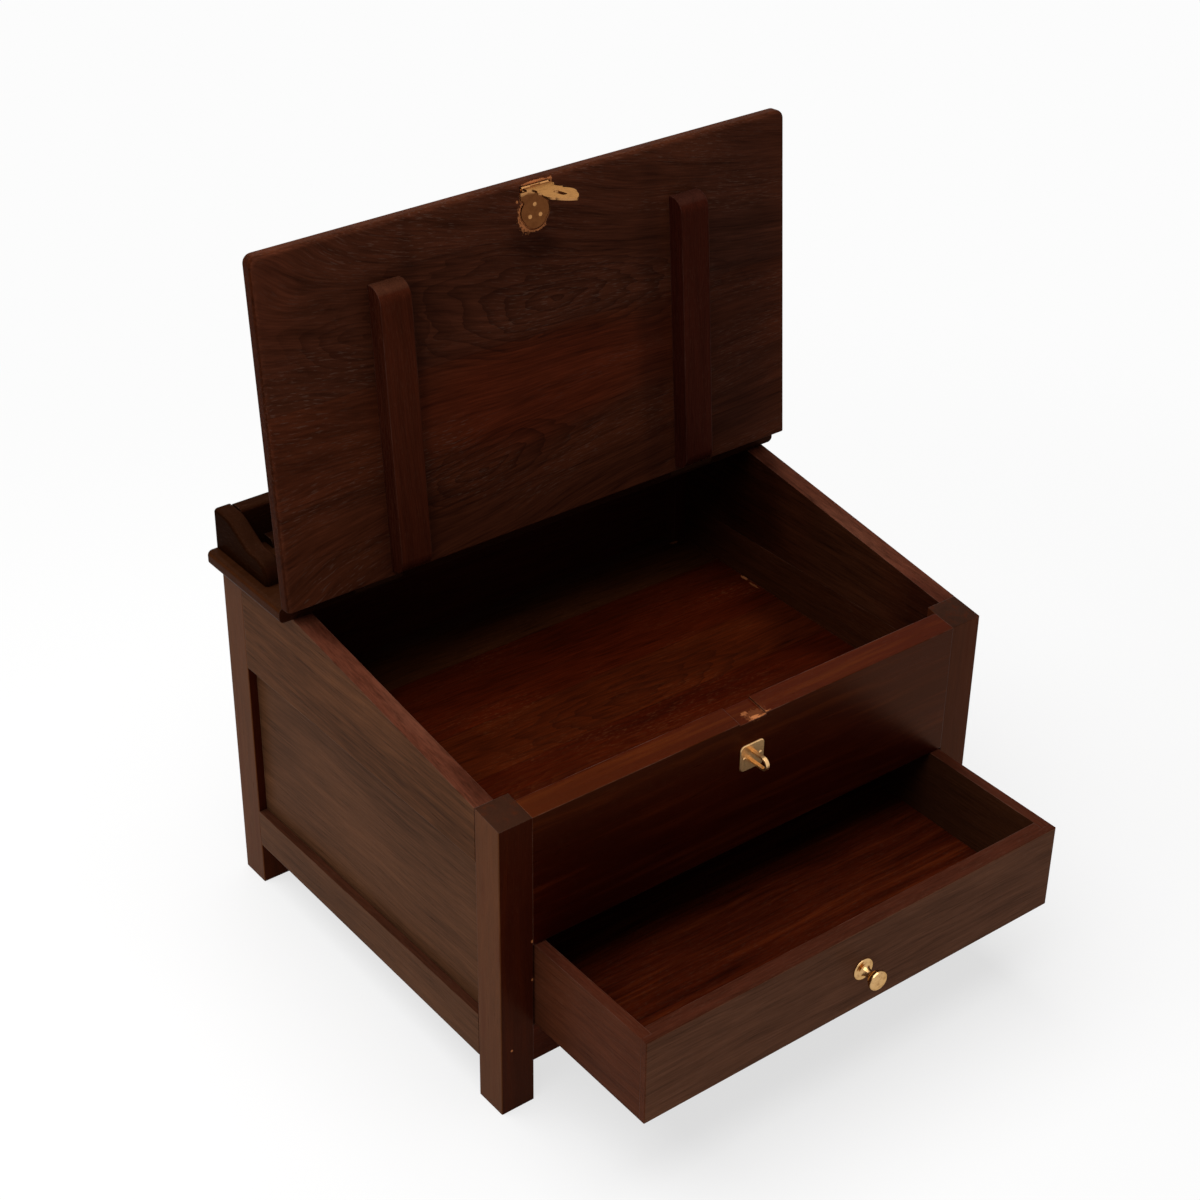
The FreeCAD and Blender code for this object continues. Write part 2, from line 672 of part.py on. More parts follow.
def staple_outline(half, reach):
    """Face of a tongue in the YZ plane: straight from inside the board, rounded in front."""
    z = staple_height()
    root = FRONT + 9
    turn = FRONT - reach + half
    upper = Part.LineSegment(Vector(0, root, z + half), Vector(0, turn, z + half))
    bend = Part.Arc(Vector(0, turn, z + half), Vector(0, turn - half, z), Vector(0, turn, z - half))
    lower = Part.LineSegment(Vector(0, turn, z - half), Vector(0, root, z - half))
    back = Part.LineSegment(Vector(0, root, z - half), Vector(0, root, z + half))
    return Part.Face(Part.Wire([edge.toShape() for edge in (upper, bend, lower, back)]))


def staple_eye():
    """Strap bent into an upright eye, its two legs let into the board."""
    outer = staple_outline(STAPLE_EYE_HALF, STAPLE_REACH)
    inner = staple_outline(STAPLE_EYE_HALF - STAPLE_STRAP, STAPLE_REACH - STAPLE_STRAP)
    loop = outer.cut(inner).extrude(Vector(STAPLE_STRAP_WIDTH, 0, 0))
    loop.translate(Vector(HASP_X - STAPLE_STRAP_WIDTH / 2, 0, 0))
    root = FRONT + 8.99
    bends = [edge for edge in loop.Edges
             if edge.BoundBox.XLength < 0.01 and edge.BoundBox.YMin < root]
    return loop.makeChamfer(0.35, bends)


# ---------------------------------------------------------------------------
# Drawer
# ---------------------------------------------------------------------------

def drawer_front():
    """Front board, rebated at both ends for the sides."""
    inner = DRAWER_FACE + DRAWER_FRONT_THICK
    board = block(-DRAWER_HALF, DRAWER_HALF, DRAWER_FACE, inner, DRAWER_LOW, DRAWER_HIGH)

    def face_edge(box):
        long_way = box.XLength > 5 or box.ZLength > 5
        return long_way and box.YMax < DRAWER_FACE + 0.01

    board = eased(board, ARRIS, face_edge)
    rebate = block(-DRAWER_HALF - 1, -DRAWER_HALF + DRAWER_SIDE_THICK, inner - DRAWER_LAP, inner + 1,
                   DRAWER_LOW - 1, DRAWER_HIGH + 1)
    return board.cut([rebate, mirrored(rebate)])


def drawer_side():
    """Left side, grooved for the bottom."""
    return block(-DRAWER_HALF, -DRAWER_HALF + DRAWER_SIDE_THICK,
                 DRAWER_FACE + DRAWER_FRONT_THICK - DRAWER_LAP, DRAWER_END, DRAWER_LOW, DRAWER_HIGH)


def drawer_back():
    """Back board, standing on the bottom and housed in the sides."""
    low = DRAWER_LOW + DRAWER_BOTTOM_RISE + DRAWER_BOTTOM_THICK
    half = DRAWER_HALF - DRAWER_SIDE_THICK + 3
    return block(-half, half, DRAWER_END - 14, DRAWER_END - 5, low, DRAWER_HIGH - 6)


def drawer_bottom():
    """Bottom board, in grooves in the front and sides, under the back."""
    low = DRAWER_LOW + DRAWER_BOTTOM_RISE
    half = DRAWER_HALF - DRAWER_SIDE_THICK + DRAWER_GROOVE
    return block(-half, half, DRAWER_FACE + DRAWER_FRONT_THICK - DRAWER_GROOVE, DRAWER_END - 3,
                 low, low + DRAWER_BOTTOM_THICK)


def turned(outline):
    """Turn a closed outline of (reach, radius) points about the knob's axis."""
    wire = Part.makePolygon([Vector(KNOB_X, DRAWER_FACE - reach, KNOB_Z + radius)
                             for reach, radius in outline + outline[:1]])
    return Part.Face(wire).revolve(Vector(KNOB_X, DRAWER_FACE, KNOB_Z), Y_AXIS, 360)


def knob_rose():
    """Thin round plate under the knob's stem."""
    return turned([(0, KNOB_SCREW), (0, KNOB_ROSE), (KNOB_ROSE_THICK, KNOB_ROSE),
                   (KNOB_ROSE_THICK, KNOB_SCREW)])


def knob():
    """Tapered stem and a head with a domed back and a flat front, drilled for its screw."""
    body = turned([(KNOB_ROSE_THICK, 0), (KNOB_ROSE_THICK, 4.8), (8.8, 2.7), (13.8, KNOB_HEAD),
                   (KNOB_REACH, KNOB_HEAD), (KNOB_REACH, 0)])
    return body.cut(rod_along_y(KNOB_SCREW, DRAWER_FACE - KNOB_SCREW_DEPTH, DRAWER_FACE, KNOB_X, KNOB_Z))


def knob_screw():
    """Screw from inside the drawer, with a slotted cheese head."""
    inner = DRAWER_FACE + DRAWER_FRONT_THICK
    shank = rod_along_y(KNOB_SCREW, DRAWER_FACE - KNOB_SCREW_DEPTH, inner, KNOB_X, KNOB_Z)
    head = rod_along_y(4.0, inner, inner + 2.4, KNOB_X, KNOB_Z)
    slot = block(KNOB_X - 5, KNOB_X + 5, inner + 1.4, inner + 3, KNOB_Z - 0.5, KNOB_Z + 0.5)
    return united(shank, head).cut(slot)


# ---------------------------------------------------------------------------
# Assembly
# ---------------------------------------------------------------------------

def both_sides(name, shape, nodes):
    """Store a left piece and its right twin."""
    nodes[name + "_left"] = shape
    nodes[name + "_right"] = mirrored(shape)


def add_carcase(nodes):
    """Posts, rails, panels, floor and drawer supports, each let into the next."""
    panel = side_panel()
    head = side_head_rail().cut(panel)
    foot = side_foot_rail().cut(panel)
    rear_panel = back_panel()
    rear_head = back_rail(BACK_HEAD_UNDER, SHELF_UNDER).cut(rear_panel)
    rear_foot = back_rail(RAIL_UNDER, BACK_RAIL_TOP).cut(rear_panel)
    board = front_board()
    rail = front_rail()
    both_sides("post_front", front_post().cut([head, foot, panel, board, rail]), nodes)
    both_sides("post_back", back_post().cut([head, foot, panel, rear_head, rear_foot, rear_panel]),
               nodes)
    both_sides("side_top_rail", head, nodes)
    both_sides("side_bottom_rail", foot, nodes)
    both_sides("side_panel", panel, nodes)
    nodes["back_top_rail"] = rear_head
    nodes["back_bottom_rail"] = rear_foot
    nodes["back_panel"] = rear_panel
    nodes["front_board"] = board.cut(staple_eye())
    nodes["front_bottom_rail"] = rail
    nodes["compartment_floor"] = compartment_floor()
    nodes["floor_rear_strip"] = floor_strip()
    both_sides("drawer_runner", drawer_runner(), nodes)
    both_sides("drawer_guide", drawer_guide(), nodes)
    both_sides("floor_bearer", floor_bearer(), nodes)
    nodes["drawer_stops"] = drawer_stops()


def add_shelf(nodes):
    """Shelf, gallery and the shelf's half of the hinges."""
    rooms = [hinge_room(x) for x in (-HINGE_CENTRE, HINGE_CENTRE)]
    leaves = [hinge_shelf_leaf(x) for x in (-HINGE_CENTRE, HINGE_CENTRE)]
    nodes["shelf"] = shelf().cut(rooms + leaves)
    nodes["gallery_back"] = gallery_back()
    nodes["gallery_pen_stop"] = pen_stop()
    bracket = gallery_side()
    nodes["gallery_sides"] = Part.makeCompound([bracket, mirrored(bracket)])
    nodes["hinge_shelf_leaves"] = Part.makeCompound(leaves)
    nodes["hinge_pins"] = Part.makeCompound([hinge_pin(x) for x in (-HINGE_CENTRE, HINGE_CENTRE)])


def add_lid(nodes):
    """Lid board, battens, the lid's half of the hinges and the hasp."""
    rooms = [hinge_room(x) for x in (-HINGE_CENTRE, HINGE_CENTRE)]
    leaves = [hinge_lid_leaf(x) for x in (-HINGE_CENTRE, HINGE_CENTRE)]
    upright_pieces = {
        "lid_board": lid_board().cut(rooms + leaves + hasp_mortise()),
        "batten_left": batten(-BATTEN_CENTRE),
        "batten_right": batten(BATTEN_CENTRE),
        "hinge_lid_leaves": Part.makeCompound(leaves),
        "hasp_fixed_leaf": hasp_fixed_leaf(),
        "hasp_pin": hasp_pin(),
        "hasp_leaf": hasp_leaf(),
    }
    for name, shape in upright_pieces.items():
        nodes[name] = laid_back(shape)


def add_staple(nodes):
    """Staple on the front board."""
    eye = staple_eye()
    nodes["staple_plate"] = staple_plate().cut(eye)
    nodes["staple_eye"] = eye


def add_drawer(nodes):
    """Drawer box and its knob."""
    bottom = drawer_bottom()
    back = drawer_back()
    screw = knob_screw()
    nodes["drawer_front"] = drawer_front().cut([bottom, screw])
    both_sides("drawer_side", drawer_side().cut([bottom, back]), nodes)
    nodes["drawer_back"] = back
    nodes["drawer_bottom"] = bottom
    nodes["knob"] = knob()
    nodes["knob_rose"] = knob_rose()
    nodes["knob_screw"] = screw


def main():
    """Build every piece and write one STEP file for each."""
    os.makedirs("parts", exist_ok=True)
    nodes = {}
    add_carcase(nodes)
    add_shelf(nodes)
    add_lid(nodes)
    add_staple(nodes)
    add_drawer(nodes)
    for name, shape in nodes.items():
        if not shape.isValid():
            print("not valid:", name)
        shape.exportStep(os.path.join("parts", name + ".step"))
        print(name, len(shape.Solids), round(shape.Volume))
    print("nodes:", len(nodes))
    print("pin:", PIN_Y, PIN_Z, "slope:", round(math.degrees(SLOPE), 3))
    print("hasp pin, upright lid:", HASP_PIN_Y, HASP_PIN_Z, "staple height:", round(staple_height(), 3))


main()
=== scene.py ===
"""Dress the letter writing box: stained wood, brass fittings, studio and camera."""

from __future__ import annotations

import json
import logging
import math
from dataclasses import dataclass, field, replace
from enum import Enum
from typing import Any, Iterable, Union

import bmesh
import bpy
from mathutils import Matrix, Vector

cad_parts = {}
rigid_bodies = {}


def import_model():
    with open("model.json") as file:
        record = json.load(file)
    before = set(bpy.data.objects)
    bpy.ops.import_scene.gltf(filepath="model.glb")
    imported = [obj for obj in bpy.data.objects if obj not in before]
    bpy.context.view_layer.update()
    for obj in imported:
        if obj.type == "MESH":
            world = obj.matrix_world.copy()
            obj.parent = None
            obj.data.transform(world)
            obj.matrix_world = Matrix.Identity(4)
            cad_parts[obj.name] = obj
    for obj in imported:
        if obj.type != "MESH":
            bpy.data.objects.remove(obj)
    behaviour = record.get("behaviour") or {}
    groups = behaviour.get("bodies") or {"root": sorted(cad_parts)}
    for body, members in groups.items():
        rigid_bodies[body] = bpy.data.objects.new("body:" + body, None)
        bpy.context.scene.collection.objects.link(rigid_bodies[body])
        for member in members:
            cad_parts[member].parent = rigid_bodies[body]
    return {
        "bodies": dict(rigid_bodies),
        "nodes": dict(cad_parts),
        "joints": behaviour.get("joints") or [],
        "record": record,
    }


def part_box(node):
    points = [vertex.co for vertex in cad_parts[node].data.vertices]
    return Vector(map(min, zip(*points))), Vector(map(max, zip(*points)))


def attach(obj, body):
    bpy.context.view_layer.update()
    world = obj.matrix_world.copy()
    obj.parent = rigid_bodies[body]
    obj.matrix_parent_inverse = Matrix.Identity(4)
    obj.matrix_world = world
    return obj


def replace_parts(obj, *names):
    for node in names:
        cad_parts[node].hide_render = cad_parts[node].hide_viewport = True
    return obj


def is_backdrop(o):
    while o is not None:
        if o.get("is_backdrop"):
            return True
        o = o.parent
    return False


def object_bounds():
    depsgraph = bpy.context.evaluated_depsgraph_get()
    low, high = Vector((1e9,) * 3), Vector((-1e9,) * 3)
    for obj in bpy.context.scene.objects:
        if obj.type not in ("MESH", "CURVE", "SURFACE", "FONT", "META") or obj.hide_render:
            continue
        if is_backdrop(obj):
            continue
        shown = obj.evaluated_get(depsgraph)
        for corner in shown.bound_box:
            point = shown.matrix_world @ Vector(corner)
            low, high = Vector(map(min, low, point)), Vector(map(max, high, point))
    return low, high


log = logging.getLogger("writing_box")

Colour = tuple[float, float, float]
Spot = tuple[float, float, float]
Span = tuple[float, float]
Operand = Union["Term", float]
Place = tuple["Term", "Term", "Term"]
Paint = Union["Term", Colour]
Owner = Union[bpy.types.Material, bpy.types.World]
Ring = list[bmesh.types.BMVert]

MM = 0.001
WHITE: Colour = (1.0, 1.0, 1.0)
FORWARD = Vector((0, -1, 0))


# ---- Places ----

@dataclass(frozen=True)
class LidPlace:
    """How the lid stands at rest: it leans back past upright about its hinge pins."""

    pin: Vector
    lean: float = math.radians(4.5)

    def rest(self) -> Matrix:
        """Return what moves the upright lid to where its stop hinges hold it."""
        return (Matrix.Translation(self.pin) @ Matrix.Rotation(-self.lean, 4, "X")
                @ Matrix.Translation(-self.pin))

    def upright(self, point: Vector) -> Vector:
        """Return where a point of the leaning lid is on the upright one."""
        return self.rest().inverted() @ point


def joint_place(frame: dict[str, Any], name: str) -> Vector:
    """Return a point on the axis of a joint, in metres."""
    return next(Vector(joint["pos_m"]) for joint in frame["joints"] if joint["name"] == name)


# ---- Shader maths ----

class Term:
    """A value socket of a shader that takes part in Python arithmetic."""

    def __init__(self, graph: Graph, socket: bpy.types.NodeSocket) -> None:
        """Wrap an output socket, with the graph that adds its nodes."""
        self.graph = graph
        self.socket = socket

    def _math(self, operation: str, *values: Operand) -> Term:
        """Add a Math node on values in the order of its inputs."""
        return self.graph.node("ShaderNodeMath", {"operation": operation}, dict(enumerate(values)))

    def __add__(self, other: Operand) -> Term:
        """Return self + other."""
        return self._math("ADD", self, other)

    def __radd__(self, other: Operand) -> Term:
        """Return other + self."""
        return self._math("ADD", other, self)

    def __sub__(self, other: Operand) -> Term:
        """Return self - other."""
        return self._math("SUBTRACT", self, other)

    def __rsub__(self, other: Operand) -> Term:
        """Return other - self."""
        return self._math("SUBTRACT", other, self)

    def __mul__(self, other: Operand) -> Term:
        """Return self * other."""
        return self._math("MULTIPLY", self, other)

    def __rmul__(self, other: Operand) -> Term:
        """Return other * self."""
        return self._math("MULTIPLY", other, self)

    def __truediv__(self, other: Operand) -> Term:
        """Return self / other."""
        return self._math("DIVIDE", self, other)

    def __rtruediv__(self, other: Operand) -> Term:
        """Return other / self."""
        return self._math("DIVIDE", other, self)

    def __pow__(self, other: Operand) -> Term:
        """Return self to the power of other."""
        return self._math("POWER", self, other)

    def __rpow__(self, other: Operand) -> Term:
        """Return other to the power of self."""
        return self._math("POWER", other, self)

    def __abs__(self) -> Term:
        """Return the size of self without its sign."""
        return self._math("ABSOLUTE", self)

    def part(self) -> Term:
        """Return what is left after the whole number."""
        return self._math("FRACT", self)

    def about(self, amount: float) -> Term:
        """Turn noise between 0 and 1 into a change to both sides of 0."""
        return (self - 0.5) * amount

    def most(self, other: Operand) -> Term:
        """Return the larger of self and other."""
        return self._math("MAXIMUM", self, other)

    def step(self, start: float, end: float) -> Term:
        """Rise smoothly from 0 to 1.

        Args:
            start: Where the rise begins.
            end: Where it ends. It may lie below start, and then self falls.

        Returns:
            The smooth step.
        """
        low, high, first, last = (start, end, 0.0, 1.0) if start < end else (end, start, 1.0, 0.0)
        return self.graph.node(
            "ShaderNodeMapRange", {"interpolation_type": "SMOOTHSTEP", "clamp": True},
            {"Value": self, "From Min": low, "From Max": high, "To Min": first, "To Max": last})


class Graph:
    """The node tree of one material or of the world."""

    def __init__(self, owner: Owner) -> None:
        """Empty the node tree of a material or world.

        Args:
            owner: The material or world.
        """
        owner.use_nodes = True
        self.owner = owner
        self.tree = owner.node_tree
        self.tree.nodes.clear()

    @classmethod
    def of_material(cls, name: str) -> Graph:
        """Start a new material."""
        return cls(bpy.data.materials.new(name))

    def node(self, kind: str, settings: dict[str, Any] | None = None,
             inputs: dict[Union[str, int], Any] | None = None, output: Union[str, int] = 0) -> Term:
        """Add any node.

        Args:
            kind: The node's type.
            settings: Properties that are set before its inputs.
            inputs: Values or terms for its sockets, by name or number.
            output: The socket to hand back.

        Returns:
            The chosen output.
        """
        made = self.tree.nodes.new(kind)
        for key, value in (settings or {}).items():
            setattr(made, key, value)
        for key, value in (inputs or {}).items():
            if isinstance(value, Term):
                self.tree.links.new(value.socket, made.inputs[key])
            elif isinstance(value, tuple) and made.inputs[key].type == "RGBA":
                made.inputs[key].default_value = (*value, 1.0)
            else:
                made.inputs[key].default_value = value
        return Term(self, made.outputs[output])

    def vector(self, x: Operand, y: Operand, z: Operand) -> Term:
        """Join three values into a vector."""
        return self.node("ShaderNodeCombineXYZ", None, {0: x, 1: y, 2: z})

    def blend(self, amount: Operand, first: Paint, second: Paint) -> Term:
        """Mix two colours: an amount of 0 gives the first, and 1 the second."""
        return self.node("ShaderNodeMix", {"data_type": "RGBA"}, {0: amount, 6: first, 7: second}, 2)

    def scaled(self, colour: Paint, shade: Operand) -> Term:
        """Make a colour darker or lighter."""
        return self.node("ShaderNodeVectorMath", {"operation": "SCALE"}, {0: colour, "Scale": shade})

    def noise(self, where: Term, detail: float = 2.0, rough: float = 0.5) -> Term:
        """Noise between 0 and 1, with features one unit of the coordinates wide."""
        return self.node("ShaderNodeTexNoise", {"noise_dimensions": "3D"},
                         {"Vector": where, "Scale": 1.0, "Detail": detail, "Roughness": rough})

    def grained(self, grain: Place, size: Span, offset: float, detail: float,
                rough: float = 0.5) -> Term:
        """Noise that is drawn out along the grain.

        Args:
            grain: Distances along the grain, across it and into the board.
            size: Length and width of its features.
            offset: What sets it apart from other noise.
            detail: How many finer layers it has.
            rough: How strong they are.

        Returns:
            Noise between 0 and 1.
        """
        along, side, deep = grain
        length, width = size
        where = self.vector(along / length + offset, side / width, deep / width)
        return self.noise(where, detail, rough)

    def parts(self, where: Term) -> Place:
        """Split a vector into its three values."""
        outputs = self.node("ShaderNodeSeparateXYZ", None, {0: where}).socket.node.outputs
        return Term(self, outputs[0]), Term(self, outputs[1]), Term(self, outputs[2])

    def place(self, lid: LidPlace | None = None) -> Place:
        """Where a surface point is, in millimetres.

        Args:
            lid: Where the lid stands, to turn its pieces back to upright.

        Returns:
            The three coordinates.
        """
        where = self.node("ShaderNodeTexCoord", output="Object")
        if lid:
            where = self.node("ShaderNodeVectorRotate", {"rotation_type": "X_AXIS"},
                              {"Vector": where, "Center": tuple(lid.pin), "Angle": lid.lean})
        return self.parts(self.node("ShaderNodeVectorMath", {"operation": "SCALE"},
                                    {0: where, "Scale": 1.0 / MM}))

    def finish(self, shader: Term) -> Owner:
        """Send a shader to the surface.

        Args:
            shader: The shader.

        Returns:
            The material or world that the tree belongs to.
        """
        kind = "World" if isinstance(self.owner, bpy.types.World) else "Material"
        made = self.tree.nodes.new(f"ShaderNodeOutput{kind}")
        self.tree.links.new(shader.socket, made.inputs["Surface"])
        return self.owner


# ---- Finishes ----

# How far a normal leans along an axis before a face counts as turned that way.
TURNED: Span = (0.55, 0.75)
# The same for faces away from the middle plane: normal times distance from it, in millimetres.
OUTWARD: Span = (60.0, 120.0)
# Soft edges of masks: where each begins, and where it is full.
PORE_EDGE: Span = (0.58, 0.70)
STREAK_EDGE: Span = (0.48, 0.72)
SEAM_EDGE: Span = (0.7, 0.2)
PATCH_EDGE: Span = (1.3, 0.4)
SCUFF_EDGE: Span = (1.04, 0.9)
ARRIS_EDGE: Span = (0.01, 0.10)
THIN_EDGE: Span = (0.85, 1.2)
TARNISH_EDGE: Span = (0.45, 0.72)
GRIT_EDGE: Span = (0.6, 0.8)
# The least shade of a stain, and the half width in millimetres where two boards' colours meet.
DARKEST = 0.12
JOINT = 0.4


class Axis(Enum):
    """One of the object's three directions."""

    X = 0
    Y = 1
    Z = 2


@dataclass(frozen=True)
class Scuff:
    """A place where the stain is rubbed or chipped off. Sizes are in millimetres."""

    centre: Spot
    size: Spot
    ragged: float = 1.4
    square: bool = False
    strength: float = 1.0
    crumb: float = 1.5


@dataclass(frozen=True)
class Arch:
    """Nested arches where growth rings run out on a board's face. Sizes are in millimetres."""

    centre: Span
    reach: float
    pitch: float
    colour: Colour
    amount: float
    stretch: float = 3.6
    wave: Span = (16.0, 12.0)
    waver: float = 2.4
    sharp: float = 2.5


@dataclass(frozen=True)
class Patch:
    """A soft-edged oval of another tint, for tints of the wood and for painted light and shade. Sizes
    are in millimetres.
    """

    centre: Span
    size: Span
    tint: Colour
    ragged: float = 0.8


@dataclass(frozen=True)
class Boards:
    """Boards glued edge to edge, with a colour each. Places are in millimetres."""

    axis: Axis
    joints: tuple[float, ...]
    colours: tuple[Colour, ...]
    seam: float


@dataclass(frozen=True)
class Cut:
    """How one piece was sawn and used. Its seed gives it a grain of its own."""

    grain: Axis
    seed: float
    boards: Boards | None = None
    arches: tuple[Arch, ...] = ()
    scuffs: tuple[Scuff, ...] = ()
    patches: tuple[Patch, ...] = ()
    lid: LidPlace | None = None
    rear_from: float = 150.0
    middle: float = 0.0
    standing: bool = False

    def offset(self) -> float:
        """Return how far this piece's noise lies from that of the others."""
        return self.seed * 7.31


@dataclass(frozen=True)
class StainAndFaceLight:
    """Colour on the faces of a piece: inward, to the front, outward, up and to the back. It holds the
    stain and the darker end grain, and painted light and shade: faces that take or reflect more light
    are painted lighter, and the others darker.
    """

    inner: Colour = (0.036, 0.0092, 0.0034)
    front: Colour = (0.036, 0.0060, 0.0024)
    flank: Colour = (0.077, 0.0315, 0.0140)
    crown: Colour = (0.044, 0.0135, 0.0066)
    rear: Colour = (0.054, 0.0185, 0.0088)


@dataclass(frozen=True)
class Figure:
    """How strongly the wood's figure shows through the stain. Sizes are in millimetres."""

    fibre: float = 0.75
    band: float = 0.65
    cloud: float = 0.55
    fleck: float = 0.10
    fleck_colour: Colour = (0.120, 0.0620, 0.0400)
    streak: float = 0.0
    streak_colour: Colour = (0.040, 0.0060, 0.0010)
    slant: float = 0.02
    sway: float = 16.0
    sway_size: Span = (190.0, 70.0)
    fan: float = 0.0
    fibre_length: float = 30.0
    thread: float = 0.8
    band_size: Span = (130.0, 6.5)
    cloud_size: Span = (120.0, 42.0)
    pore: Span = (6.5, 0.42)
    cluster: Span = (0.25, 0.60)


@dataclass(frozen=True)
class Surface:
    """What a wood finish knows at each point of a piece. Distances are in millimetres."""

    graph: Graph
    cut: Cut
    place: Place
    grain: Place
    normal: Place
    fibre: Term
    band: Term
    cloud: Term

    def faces(self, axis: Axis, sign: float = 1.0) -> Term:
        """Return 1 where a face looks along an axis, or against it with a sign of -1."""
        return (self.normal[axis.value] * sign).step(*TURNED)

    def boards(self) -> Term:
        """Colour boards that are glued edge to edge.

        Returns:
            The colour of the board at each point.
        """
        boards = self.cut.boards
        colour = boards.colours[0]
        for joint, following in zip(boards.joints, boards.colours[1:]):
            past = self.place[boards.axis.value].step(joint - JOINT, joint + JOINT)
            colour = self.graph.blend(past, colour, following)
        return colour

    def seams(self) -> Term:
        """Darken the glue lines.

        Returns:
            How much shade each point loses.
        """
        boards = self.cut.boards
        across = self.place[boards.axis.value]
        lines = [abs(across - joint).step(*SEAM_EDGE) for joint in boards.joints]
        return sum(lines[1:], lines[0]) * boards.seam

    def patch(self, patch: Patch, colour: Term) -> Term:
        """Tint an oval, except on the back of the board.

        Args:
            patch: The oval.
            colour: The colour that it changes.

        Returns:
            The colour with the oval.
        """
        along, side = ((axis - centre) / half for axis, centre, half
                       in zip(self.grain, patch.centre, patch.size))
        away = (along * along + side * side) ** 0.5 + self.cloud.about(patch.ragged)
        mask = away.step(*PATCH_EDGE) * (1.0 - self.faces(Axis.Y))
        tint = self.graph.blend(mask, WHITE, patch.tint)
        return self.graph.node("ShaderNodeVectorMath", {"operation": "MULTIPLY"},
                               {0: colour, 1: tint})

    def arch(self, arch: Arch, colour: Term) -> Term:
        """Draw one set of nested arches.

        Args:
            arch: Its place and pitch.
            colour: The colour that it is drawn on.

        Returns:
            The colour with the arches.
        """
        graph, offset = self.graph, self.cut.offset()
        length, width = arch.wave
        along = (self.grain[0] - arch.centre[0]) / arch.stretch
        side = self.grain[1] - arch.centre[1]
        wave = graph.noise(graph.vector(along / length + offset, side / width, offset), 2.0)
        away = (along * along + side * side) ** 0.5 + wave.about(arch.pitch * arch.waver)
        line = (away / arch.pitch).part() ** arch.sharp
        within = away.step(arch.reach, arch.reach * 0.5)
        return graph.blend(line * within * arch.amount, colour, arch.colour)

    def arris(self, rounded: Term) -> Term:
        """Find sharp edges, where the stain wears thin in places and a painted highlight runs along
        them.

        Args:
            rounded: The normal with its edges rounded.

        Returns:
            The mask.
        """
        true_normal = self.graph.node("ShaderNodeNewGeometry", output="Normal")
        same = self.graph.node("ShaderNodeVectorMath", {"operation": "DOT_PRODUCT"},
                               {0: rounded, 1: true_normal}, "Value")
        return (1.0 - same).step(*ARRIS_EDGE) * (self.cloud + self.fibre).step(*THIN_EDGE)

    def scuff(self, scuff: Scuff) -> Term:
        """Mask one place where the stain is gone.

        Args:
            scuff: The place.

        Returns:
            The mask.
        """
        away = [abs(axis - centre) / half for axis, centre, half
                in zip(self.place, scuff.centre, scuff.size)]
        if scuff.square:
            reach = away[0].most(away[1]).most(away[2])
        else:
            reach = (away[0] ** 2.0 + away[1] ** 2.0 + away[2] ** 2.0) ** 0.5
        crumbs = self.graph.noise(
            self.graph.vector(*(axis / scuff.crumb for axis in self.place)), 4.0, 0.7)
        return (reach + crumbs.about(scuff.ragged)).step(*SCUFF_EDGE) * scuff.strength


